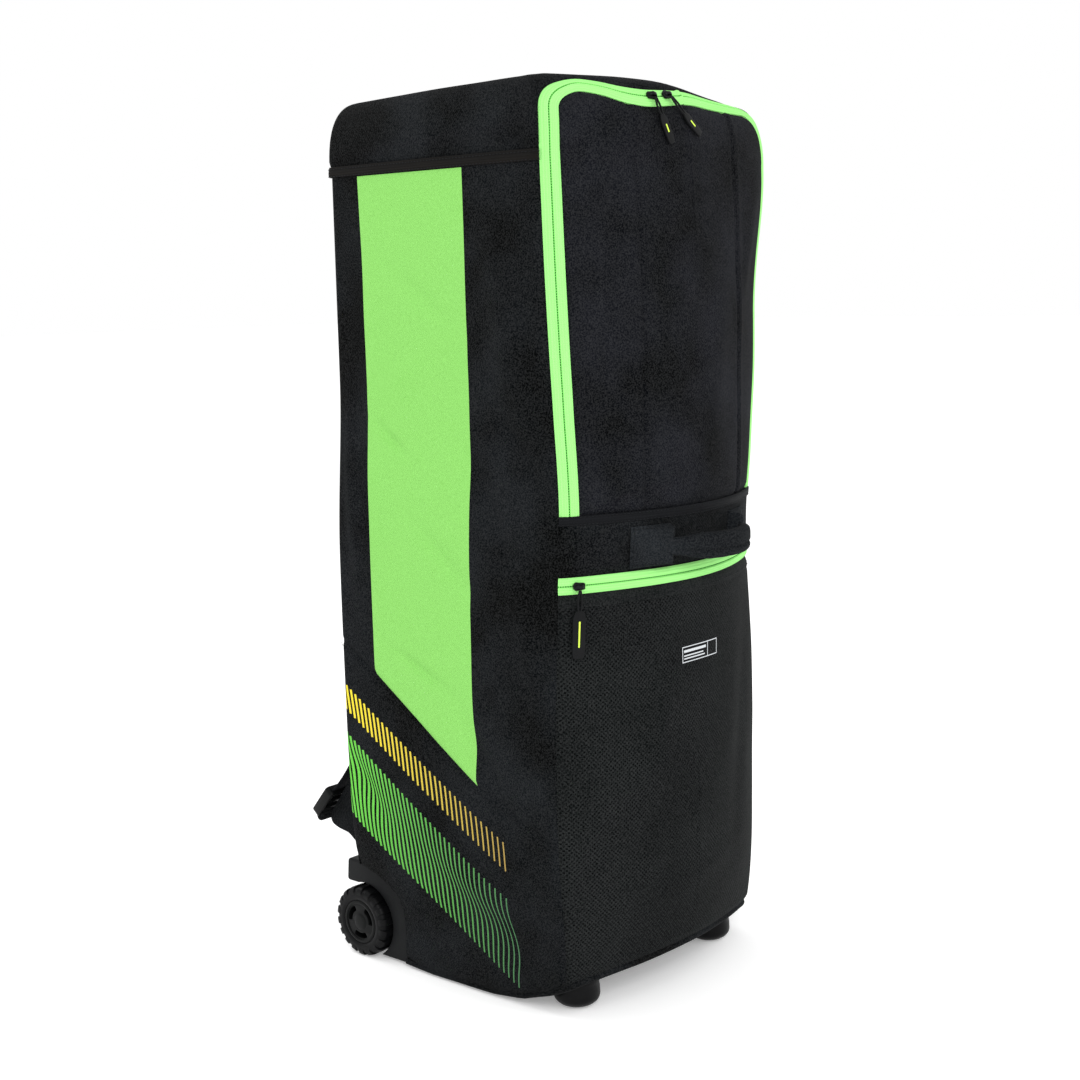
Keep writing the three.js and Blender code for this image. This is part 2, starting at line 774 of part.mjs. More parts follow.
// Places on one lug of the tread, as shares of the pitch, on the lug or in the groove behind it.
const lugProfile = [
  { turn: 0.0, depth: 0 },
  { turn: 0.3, depth: 0 },
  { turn: 0.6, depth: 0 },
  { turn: 0.7, depth: 1 },
  { turn: 0.9, depth: 1 },
];
const tyreBevel = 2;
const hubBevel = 1.2;

function tyre() {
  const pitch = (2 * Math.PI) / lugCount;
  const points = shares(lugCount)
    .slice(0, -1)
    .flatMap((t) =>
      lugProfile.map((row) =>
        onCircle(wheelRadius - tyreBevel - row.depth * lugDepth, t * 2 * Math.PI + row.turn * pitch),
      ),
    );
  const outline = new THREE.Shape(points);
  outline.holes.push(new THREE.Path(arc(hubRadius + gap + tyreBevel, 0, 2 * Math.PI, 32).slice(0, -1)));
  return new THREE.ExtrudeGeometry(outline, {
    depth: tyreWidth - 2 * tyreBevel,
    bevelThickness: tyreBevel,
    bevelSize: tyreBevel,
    bevelSegments: 1,
  }).translate(0, 0, tyreBevel - tyreWidth / 2);
}

function hub() {
  const outline = new THREE.Shape(arc(hubRadius - hubBevel, 0, 2 * Math.PI, 36).slice(0, -1));
  const bore = arc(axleRadius + runningGap + hubBevel, 0, 2 * Math.PI, 14).slice(0, -1);
  outline.holes.push(new THREE.Path(bore));
  const middle = hubRadius * 0.62;
  const half = slotWidth / 2 + hubBevel;
  shares(slotCount)
    .slice(1)
    .forEach((t) => {
      const start = t * 2 * Math.PI;
      const end = start + slotTurn;
      const outerSide = arc(middle + half, start, end, 5);
      const innerSide = arc(middle - half, end, start, 5);
      const farTip = onCircle(middle, end + half / middle);
      const nearTip = onCircle(middle, start - half / middle);
      outline.holes.push(new THREE.Path([...outerSide, farTip, ...innerSide, nearTip]));
    });
  return new THREE.ExtrudeGeometry(outline, {
    depth: tyreWidth - 2 * hubBevel,
    bevelThickness: hubBevel,
    bevelSize: hubBevel,
    bevelSegments: 1,
  }).translate(0, 0, hubBevel - tyreWidth / 2);
}

function wheel(name, side) {
  const group = new THREE.Group();
  group.add(named(`tyre_${name}`, tyre(), blackRubber));
  group.add(named(`hub_${name}`, hub(), blackPlastic));
  group.rotation.y = (side * Math.PI) / 2;
  group.position.set(side * (wheelOuterFace - tyreWidth / 2), wheelAxisDepth, wheelRadius);
  return group;
}

// Backpack straps on the back
function strapPoint(row, side) {
  const off = backSeamDepth + backCrown + gap + strapThickness / 2;
  return new THREE.Vector3(
    side * lerp(strapTopX, strapBottomX, row.spread),
    off + row.reach * strapReach,
    lerp(strapTop, strapBottom, row.drop),
  );
}

function buckleDirection() {
  return new THREE.Vector3(0, Math.sin(buckleLean), -Math.cos(buckleLean));
}

function strapSet(group, name, side) {
  const across = new THREE.Vector3(1, 0, 0);
  const route = new THREE.CatmullRomCurve3(strapRoute.map((row) => strapPoint(row, side)));
  const strap = strapAlong(route, across, strapWidth, strapThickness, 11);
  group.add(named(`shoulder_strap_${name}`, strap, fabric));

  const along = buckleDirection();
  const centre = new THREE.Vector3(side * buckleX, buckleY, buckleZ);
  const upper = centre.clone().addScaledVector(along, -buckleLength / 2);
  const lower = centre.clone().addScaledVector(along, buckleLength / 2);
  group.add(
    barBetween(`strap_buckle_${name}`, upper, lower, buckleWidth, buckleThickness, across, blackPlastic),
  );

  const strapEnd = strapPoint(strapRoute[strapRoute.length - 1], side);
  const run = upper.clone().sub(strapEnd).normalize();
  const from = strapEnd.clone().addScaledVector(run, webbingThickness + 2 * gap);
  const to = upper.clone().addScaledVector(run, -buckleThickness * webbingEntry);
  group.add(
    barBetween(`strap_webbing_${name}`, from, to, webbingWidth, webbingThickness, across, webbingBlack),
  );

  const inward = new THREE.Vector2(-along.z, along.y).multiplyScalar(-buckleThickness / 2 - gap);
  const back = backSeamDepth + backCrown + gap;
  const outline = new THREE.Shape([
    new THREE.Vector2(back, gussetRootLow),
    new THREE.Vector2(lower.y + inward.x, lower.z + inward.y),
    new THREE.Vector2(upper.y + inward.x, upper.z + inward.y),
    new THREE.Vector2(lerp(back, upper.y, gussetBendOut), lerp(upper.z, gussetRootHigh, gussetBendUp)),
    new THREE.Vector2(back, gussetRootHigh),
  ]);
  const turn = new THREE.Matrix4().makeBasis(
    new THREE.Vector3(0, 1, 0),
    new THREE.Vector3(0, 0, 1),
    new THREE.Vector3(1, 0, 0),
  );
  const wing = new THREE.ExtrudeGeometry(outline, { depth: gussetThickness, bevelEnabled: false });
  wing.applyMatrix4(turn).translate(side * buckleX - gussetThickness / 2, 0, 0);
  group.add(named(`strap_gusset_${name}`, wing, fabric));
}

// Assembly
const body = new THREE.Group();
const fittings = new THREE.Group();
const baseTrim = aboveBase();

[["left", -1], ["right", 1]].forEach(([name, side]) => {
  body.add(named(`side_upper_${name}`, sideUpper(side), fabric));
  body.add(named(`side_lower_${name}`, sideLower(side), fabric));
  fittings.add(named(`wheel_housing_${name}`, housing(side), blackPlastic));
  fittings.add(wheel(name, side));
  const placedFoot = foot().translate(side * footX, footY, 0);
  fittings.add(named(`foot_${name}`, cut(placedFoot, baseTrim), blackRubber));
  strapSet(fittings, name, side);
});
body.add(named("back_panel", backPanel(), fabric));
body.add(named("base_panel", basePanel(), fabric));
body.add(named("top_cap", topCap(), fabric));
body.add(named("cap_binding", capBinding(), webbingBlack));
body.add(named("flap_panel", flapPanel(), fabric));
body.add(named("flap_zip_tape", flapZipTape(), greenTape));
const bandLow = () => bandBottom + gap / 2;
const bandHigh = () => flapBottom - gap / 2;
body.add(named("front_band", frontSheet(bandLow, bandHigh, 3), fabric));
body.add(named("band_binding", bandBinding(), webbingBlack));
const zipLow = () => pocketTop + gap / 2;
const zipHigh = () => bandBottom - gap / 2;
body.add(named("pocket_zip_tape", frontSheet(zipLow, zipHigh, 1), greenTape));
const pocketLow = (station) => wallFoot(station) + gap / 2;
const pocketHigh = () => pocketTop - gap / 2;
body.add(named("pocket_panel", frontSheet(pocketLow, pocketHigh, 7), blackMesh));
flapSliders(fittings);
pocketSlider(fittings);
carryHandle(fittings);

// The origin is under the middle of the whole bag.
const bag = new THREE.Group();
bag.add(body, fittings);
const extent = new THREE.Box3().setFromObject(bag, true);
bag.position.set(0, -(extent.min.y + extent.max.y) / 2, -extent.min.z);
const part = new THREE.Group();
part.add(bag);

export default part;
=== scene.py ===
"""A wheeled cricket kit bag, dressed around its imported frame.

Lengths are in metres, +X is across the bag, the flap and pocket face -Y, and +Z is up.
"""

import logging
import math
from dataclasses import dataclass, field
from enum import Enum
from typing import Callable, Iterable, Optional, Sequence

import bmesh
import bpy
import numpy as np
from mathutils import Matrix, Vector


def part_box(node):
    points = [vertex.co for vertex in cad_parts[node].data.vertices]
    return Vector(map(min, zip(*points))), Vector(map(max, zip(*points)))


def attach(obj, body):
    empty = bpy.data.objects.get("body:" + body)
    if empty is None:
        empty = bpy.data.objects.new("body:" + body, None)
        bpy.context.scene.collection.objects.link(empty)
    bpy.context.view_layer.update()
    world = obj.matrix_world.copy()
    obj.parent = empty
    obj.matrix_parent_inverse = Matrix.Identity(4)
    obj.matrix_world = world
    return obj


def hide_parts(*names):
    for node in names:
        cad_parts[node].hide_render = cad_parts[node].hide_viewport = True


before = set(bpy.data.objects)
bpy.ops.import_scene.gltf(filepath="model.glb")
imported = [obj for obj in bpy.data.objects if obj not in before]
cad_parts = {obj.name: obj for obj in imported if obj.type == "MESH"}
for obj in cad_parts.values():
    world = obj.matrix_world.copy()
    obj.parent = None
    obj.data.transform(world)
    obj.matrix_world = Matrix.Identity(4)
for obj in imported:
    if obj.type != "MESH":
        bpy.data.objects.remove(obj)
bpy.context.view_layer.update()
LOG = logging.getLogger("kit_bag")
BODY = "bag"
CLOTH_UV = "cloth"
OUT_ATTRIBUTE = "out"

Object = bpy.types.Object
Material = bpy.types.Material
Tree = bpy.types.NodeTree
Socket = bpy.types.NodeSocket
Array = np.ndarray


class Side(Enum):
    """The two sides of the bag, with the direction of X on each."""

    LEFT = -1
    RIGHT = 1

    @property
    def label(self) -> str:
        """The side's name as the pieces carry it."""
        return self.name.lower()


# Node and mesh helpers


def add(tree: Tree, kind: str, inputs: Optional[dict] = None, **settings) -> bpy.types.Node:
    """Adds a node with its settings and links.

    Args:
        tree: The node tree that gets the node.
        kind: The node's type name.
        inputs: Values or sockets by input name or number.
        **settings: Properties of the node itself.

    Returns:
        The new node.
    """
    node = tree.nodes.new(kind)
    for key, value in settings.items():
        setattr(node, key, value)
    for key, value in (inputs or {}).items():
        if isinstance(value, Socket):
            tree.links.new(value, node.inputs[key])
        else:
            node.inputs[key].default_value = value
    return node


def linear(colour: str) -> tuple[float, float, float, float]:
    """Turns an sRGB hex colour to linear light.

    Args:
        colour: Six hex digits.

    Returns:
        Red, green, blue and alpha.
    """
    parts = [int(colour[i : i + 2], 16) / 255 for i in (0, 2, 4)]
    light = [c / 12.92 if c <= 0.04045 else ((c + 0.055) / 1.055) ** 2.4 for c in parts]
    return (*light, 1.0)


def unit(vectors: Array) -> Array:
    """Scales vectors to length one along the last axis."""
    return vectors / np.maximum(np.linalg.norm(vectors, axis=-1, keepdims=True), 1e-12)


def smooth_step(share: Array) -> Array:
    """Eases a share from 0 to 1."""
    share = np.clip(share, 0, 1)
    return share * share * (3 - 2 * share)


def smooth_table(keys: Sequence[float], values: Sequence[float], place: Array) -> Array:
    """Reads a table along one smooth curve through its rows.

    Args:
        keys: Growing places of the rows.
        values: The rows' values.
        place: Where the curve is read.

    Returns:
        The values there.
    """
    x, y = np.asarray(keys, float), np.asarray(values, float)
    slope = np.gradient(y, x)
    i = np.clip(np.searchsorted(x, place) - 1, 0, len(x) - 2)
    h = x[i + 1] - x[i]
    t = np.clip((place - x[i]) / h, 0, 1)
    rise = y[i + 1] - y[i]
    turn = h * (slope[i] * t * (1 - t) ** 2 - slope[i + 1] * t * t * (1 - t))
    return y[i] + rise * t * t * (3 - 2 * t) + turn


def along(points: Array) -> Array:
    """Length run so far at each point of a path."""
    steps = np.linalg.norm(np.diff(points, axis=0), axis=1)
    return np.concatenate([[0.0], np.cumsum(steps)])


def new_object(name: str, mesh: bpy.types.Mesh, sharp: float = 40) -> Object:
    """Puts a mesh into the scene, smooth but for its sharp edges.

    Args:
        name: The piece's name.
        mesh: Its mesh, in place.
        sharp: Edges sharper than this many degrees stay sharp.

    Returns:
        The new object.
    """
    mesh.polygons.foreach_set("use_smooth", [True] * len(mesh.polygons))
    mesh.set_sharp_from_angle(angle=math.radians(sharp))
    piece = bpy.data.objects.new(name, mesh)
    bpy.context.scene.collection.objects.link(piece)
    return piece


def from_bmesh(name: str, bm: bmesh.types.BMesh, sharp: float = 40) -> Object:
    """Turns a bmesh into an object and frees it."""
    bmesh.ops.remove_doubles(bm, verts=bm.verts, dist=1e-6)
    bmesh.ops.recalc_face_normals(bm, faces=bm.faces)
    mesh = bpy.data.meshes.new(name)
    bm.to_mesh(mesh)
    bm.free()
    return new_object(name, mesh, sharp)


def plain_mesh(piece: Object) -> Object:
    """Turns what a piece's modifiers make into its plain mesh.

    Args:
        piece: An object with modifiers.

    Returns:
        The same object, its modifiers gone.
    """
    depsgraph = bpy.context.evaluated_depsgraph_get()
    result = bpy.data.meshes.new_from_object(piece.evaluated_get(depsgraph), depsgraph=depsgraph)
    piece.modifiers.clear()
    piece.data = result
    return piece


def sheet_piece(
    name: str, outer: Array, inner: Array, uv: Array, ring: bool = False, sharp: float = 40
) -> Object:
    """Makes a closed sheet between two grids of points.

    Args:
        name: The piece's name.
        outer: Outer points, rows by columns by 3, columns running right seen from outside.
        inner: Inner points, the same way.
        uv: Cloth coordinates in metres, rows by columns by 2.
        ring: True where the last column meets the first.
        sharp: Edges sharper than this many degrees stay sharp.

    Returns:
        The new object.
    """
    rows, columns = outer.shape[:2]
    points = np.concatenate([outer.reshape(-1, 3), inner.reshape(-1, 3)])
    half = rows * columns
    ids = np.arange(half).reshape(rows, columns)
    if ring:
        ids = np.concatenate([ids, ids[:, :1]], axis=1)
    a, b, c, d = ids[:-1, :-1], ids[:-1, 1:], ids[1:, 1:], ids[1:, :-1]
    front = np.stack([a, b, c, d], -1).reshape(-1, 4)
    back = np.stack([a, d, c, b], -1).reshape(-1, 4) + half
    low, top = ids[0], ids[-1]
    rims = [
        np.stack([low[:-1], low[:-1] + half, low[1:] + half, low[1:]], -1),
        np.stack([top[:-1], top[1:], top[1:] + half, top[:-1] + half], -1),
    ]
    if not ring:
        left, right = ids[:, 0], ids[:, -1]
        rims.append(np.stack([left[:-1], left[1:], left[1:] + half, left[:-1] + half], -1))
        rims.append(np.stack([right[:-1], right[:-1] + half, right[1:] + half, right[1:]], -1))
    faces = np.concatenate([front, back, *rims])
    mesh = bpy.data.meshes.new(name)
    mesh.from_pydata(points.tolist(), [], faces.tolist())
    layer = mesh.uv_layers.new(name=CLOTH_UV)
    flat = np.concatenate([uv.reshape(-1, 2)] * 2)
    layer.data.foreach_set("uv", flat[faces.reshape(-1)].ravel().astype(np.float32))
    if ring:
        bm = bmesh.new()
        bm.from_mesh(mesh)
        bmesh.ops.remove_doubles(bm, verts=bm.verts, dist=2e-5)
        bm.to_mesh(mesh)
        bm.free()
    return new_object(name, mesh, sharp)


def sweep(name: str, path: Array, broad: Array, section: Array, scale: Optional[Array] = None) -> Object:
    """Sweeps a closed section along a path, with capped ends.

    Args:
        name: The piece's name.
        path: Points of the middle line.
        broad: Direction of the section's first axis, one or one for each point.
        section: Closed outline, as places along the broad direction and across it.
        scale: The section's size at each point, as a share.

    Returns:
        The new object.
    """
    tangent = unit(np.gradient(path, axis=0))
    side = np.broadcast_to(broad, path.shape)
    side = unit(side - tangent * np.sum(side * tangent, axis=1, keepdims=True))
    normal = np.cross(side, tangent)
    size = np.ones(len(path)) if scale is None else scale
    rings = (
        path[:, None]
        + side[:, None] * (section[None, :, :1] * size[:, None, None])
        + normal[:, None] * (section[None, :, 1:] * size[:, None, None])
    )
    bm = bmesh.new()
    verts = [[bm.verts.new(p) for p in ring] for ring in rings]
    count = len(section)
    for before, after in zip(verts, verts[1:]):
        for i in range(count):
            j = (i + 1) % count
            bm.faces.new((before[i], before[j], after[j], after[i]))
    bm.faces.new(verts[0][::-1])
    bm.faces.new(verts[-1])
    return from_bmesh(name, bm)


def rounded_section(width: float, thickness: float, steps: int = 5) -> Array:
    """Closed outline of a flat strap with round edges.

    Args:
        width: Whole width.
        thickness: Whole thickness.
        steps: Faces of each quarter turn.

    Returns:
        Points of the outline.
    """
    radius = thickness / 2
    turns = np.linspace(-math.pi / 2, math.pi / 2, 2 * steps + 1)
    right = np.stack([width / 2 - radius + radius * np.cos(turns), radius * np.sin(turns)], -1)
    return np.concatenate([right, -right])


def lathe(
    name: str, profile: Array, centre: Vector, steps: int, axis: str = "X", sharp: float = 35
) -> Object:
    """Turns a closed profile about an axis.

    Args:
        name: The piece's name.
        profile: Points as distance along the axis and radius, from axis to axis or closed.
        centre: A point of the axis.
        steps: Faces round the axis.
        axis: X or Z.
        sharp: Edges sharper than this many degrees stay sharp.

    Returns:
        The new object.
    """
    turns = np.arange(steps) * (2 * math.pi / steps)
    bm = bmesh.new()
    rings = []
    for place, radius in profile:
        ring = []
        for turn in turns:
            u, v = radius * math.cos(turn), radius * math.sin(turn)
            offset = (place, u, v) if axis == "X" else (u, v, place)
            ring.append(bm.verts.new(centre + Vector(offset)))
        rings.append(ring)
    closed = profile[0][1] > 1e-7
    pairs = list(zip(rings, rings[1:])) + ([(rings[-1], rings[0])] if closed else [])
    for before, after in pairs:
        for i in range(steps):
            j = (i + 1) % steps
            bm.faces.new((before[i], before[j], after[j], after[i]))
    bmesh.ops.remove_doubles(bm, verts=bm.verts, dist=1e-6)
    return from_bmesh(name, bm, sharp)


def prism(
    name: str,
    outline: Sequence[tuple[float, float]],
    holes: Sequence[Sequence[tuple[float, float]]],
    place: Matrix,
    thickness: float,
    bevel: float,
    sharp: float = 35,
) -> Object:
    """Extrudes an outline with holes and rounds its edges.

    Args:
        name: The piece's name.
        outline: Points of the outer edge.
        holes: Points of each hole.
        place: Matrix from the outline's plane, thickness upwards, to the bag.
        thickness: How far it is extruded.
        bevel: Radius of the rounded edges, taken from inside the outline.
        sharp: Edges sharper than this many degrees stay sharp.

    Returns:
        The new object.
    """
    curve = bpy.data.curves.new(name, "CURVE")
    curve.dimensions = "2D"
    curve.fill_mode = "BOTH"
    curve.extrude = thickness / 2 - bevel
    curve.bevel_depth = bevel
    curve.bevel_resolution = 2
    curve.offset = -bevel
    for points in (outline, *holes):
        spline = curve.splines.new("POLY")
        spline.points.add(len(points) - 1)
        for point, at in zip(spline.points, points):
            point.co = (*at, 0, 1)
        spline.use_cyclic_u = True
    holder = bpy.data.objects.new(name, curve)
    bpy.context.scene.collection.objects.link(holder)
    depsgraph = bpy.context.evaluated_depsgraph_get()
    mesh = bpy.data.meshes.new_from_object(holder.evaluated_get(depsgraph), depsgraph=depsgraph)
    bpy.data.objects.remove(holder)
    bpy.data.curves.remove(curve)
    mesh.transform(place)
    bm = bmesh.new()
    bm.from_mesh(mesh)
    bpy.data.meshes.remove(mesh)
    return from_bmesh(name, bm, sharp)


def joined(name: str, parts: Iterable[Object]) -> Object:
    """Joins loose parts into one piece.

    Args:
        name: The piece's name.
        parts: Objects, which are used up.

    Returns:
        The new object.
    """
    bm = bmesh.new()
    parts = list(parts)
    for part in parts:
        bm.from_mesh(part.data)
    for part in parts:
        mesh = part.data
        bpy.data.objects.remove(part)
        bpy.data.meshes.remove(mesh)
    mesh = bpy.data.meshes.new(name)
    bm.to_mesh(mesh)
    bm.free()
    return new_object(name, mesh)


def dress(
    piece: Object, material: Material, replaces: Sequence[str] = (), body: str = BODY
) -> Object:
    """Gives a piece its material and its body, and hides the CAD nodes that it replaces.

    Args:
        piece: The finished piece.
        material: Its material.
        replaces: CAD nodes that it replaces.
        body: The body that it rides on.

    Returns:
        The piece.
    """
    piece.data.materials.clear()
    piece.data.materials.append(material)
    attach(piece, body)
    if replaces:
        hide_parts(*replaces)
    return piece


def geometry_tree(name: str, inputs: dict[str, str], output: str) -> Tree:
    """Starts a geometry tree.

    Args:
        name: The tree's name.
        inputs: Kinds of its inputs by name.
        output: Name of the mesh that it gives.

    Returns:
        The tree, without nodes.
    """
    tree = bpy.data.node_groups.new(name, "GeometryNodeTree")
    for label, kind in inputs.items():
        tree.interface.new_socket(label, in_out="INPUT", socket_type=f"NodeSocket{kind}")
    tree.interface.new_socket(output, in_out="OUTPUT", socket_type="NodeSocketGeometry")
    return tree


def placed(right: Iterable, up: Iterable, out: Iterable, place: Iterable) -> Matrix:
    """Matrix with three directions as its columns, at a place."""
    return Matrix([[*row, at] for *row, at in zip(right, up, out, place)] + [[0, 0, 0, 1]])


# Finishes


def blank_material(name: str) -> tuple[Material, Tree]:
    """Starts a material.

    Args:
        name: The material's name.

    Returns:
        The material and its tree, without nodes.
    """
    material = bpy.data.materials.new(name)
    material.use_nodes = True
    material.node_tree.nodes.clear()
    return material, material.node_tree


def waves(tree: Tree, uv: Socket, pitches: Iterable[tuple[int, float]]) -> list[Socket]:
    """Sine waves over the cloth.

    Args:
        tree: The material's tree.
        uv: Places on the cloth.
        pitches: Axis and pitch of each wave.

    Returns:
        A socket for each wave.
    """
    split = add(tree, "ShaderNodeSeparateXYZ", {0: uv})
    result = []
    for axis, pitch in pitches:
        turn = add(
            tree, "ShaderNodeMath", {0: split.outputs[axis], 1: 2 * math.pi / pitch}, operation="MULTIPLY"
        )
        result.append(add(tree, "ShaderNodeMath", {0: turn.outputs[0]}, operation="SINE").outputs[0])
    return result


@dataclass(frozen=True)
class WovenPolyester:
    """Oxford woven polyester: matt, faintly sheened, with a fine basket grain and painted sheen patches."""

    name: str
    colour: str = "0A0B0B"
    # Lighter bluish colour of the soft patches: painted sheen.
    painted_sheen: str = "191B1D"
    # A 600 denier thread is 0.4 mm wide; it is drawn at 1.5 mm so that the grain shows.
    thread: float = 0.0015
    grain: float = 0.00035
    lint: float = 0.008
    roughness: float = 0.82
    sheen: float = 0.01

    def ink(self, tree: Tree, uv: Socket, cloth: Socket) -> Socket:
        """Colour of the cloth, with nothing printed on it."""
        return cloth

    def height(self, tree: Tree, uv: Socket) -> Socket:
        """Height of the basket weave over one thread."""
        along, across = waves(tree, uv, ((0, 2 * self.thread), (1, 2 * self.thread)))
        return add(tree, "ShaderNodeMath", {0: along, 1: across}, operation="MULTIPLY").outputs[0]

    def make(self) -> Material:
        """Builds the material.

        Returns:
            The new material.
        """
        material, tree = blank_material(self.name)
        uv = add(tree, "ShaderNodeUVMap", uv_map=CLOTH_UV).outputs[0]
        place = add(tree, "ShaderNodeTexCoord").outputs["Object"]
        # Soft patches where the colour turns towards the lighter bluish colour: painted sheen. The roughness
        # varies with the same patches.
        patches = add(tree, "ShaderNodeTexNoise", {"Vector": place, "Scale": 11.0, "Detail": 3.0})
        patch = add(
            tree, "ShaderNodeMapRange", {0: patches.outputs[0], 1: 0.38, 2: 0.66, 3: 0.0, 4: 1.0}
        ).outputs[0]
        cloth = add(
            tree,
            "ShaderNodeMix",
            {0: patch, 6: linear(self.colour), 7: linear(self.painted_sheen)},
            data_type="RGBA",
        ).outputs[2]
        inked = self.ink(tree, uv, cloth)
        # Fuzz of single threads, 1.5 mm across so that it shows.
        fuzz = add(tree, "ShaderNodeTexNoise", {"Vector": place, "Scale": 680.0, "Detail": 1.0})
        grade = add(
            tree, "ShaderNodeMapRange", {0: fuzz.outputs[0], 1: 0.3, 2: 0.7, 3: 0.95, 4: 1.04}
        ).outputs[0]
        graded = add(tree, "ShaderNodeVectorMath", {0: inked, "Scale": grade}, operation="SCALE").outputs[0]
        lint = add(
            tree, "ShaderNodeMapRange", {0: fuzz.outputs[0], 1: 0.35, 2: 0.65, 3: -0.005, 4: self.lint}
        )
        colour = add(
            tree, "ShaderNodeVectorMath", {0: graded, 1: lint.outputs[0]}, operation="ADD"
        ).outputs[0]
        height = add(
            tree,
            "ShaderNodeMath",
            {0: self.height(tree, uv), 1: fuzz.outputs[0]},
            operation="ADD",
        )
        bump = add(
            tree,
            "ShaderNodeBump",
            {"Strength": 0.6, "Distance": self.grain, "Height": height.outputs[0]},
        )
        wear = add(
            tree,
            "ShaderNodeMapRange",
            {0: patches.outputs[0], 3: self.roughness - 0.06, 4: self.roughness + 0.06},
        )
        shader = add(
            tree,
            "ShaderNodeBsdfPrincipled",
            {
                "Base Color": colour,
                "Roughness": wear.outputs[0],
                "Sheen Weight": self.sheen,
                "Sheen Roughness": 0.45,
                "Specular IOR Level": 0.03,
                "Normal": bump.outputs[0],
            },
        )
        add(tree, "ShaderNodeOutputMaterial", {0: shader.outputs[0]})
        return material


@dataclass(frozen=True)
class HatchBand:
    """A slanted band of near upright printed lines; its edges are heights at the middle of the bag."""

    top: float
    bottom: float
    back_colour: str
    front_colour: str
    back_width: float
    front_width: float
    sway: float


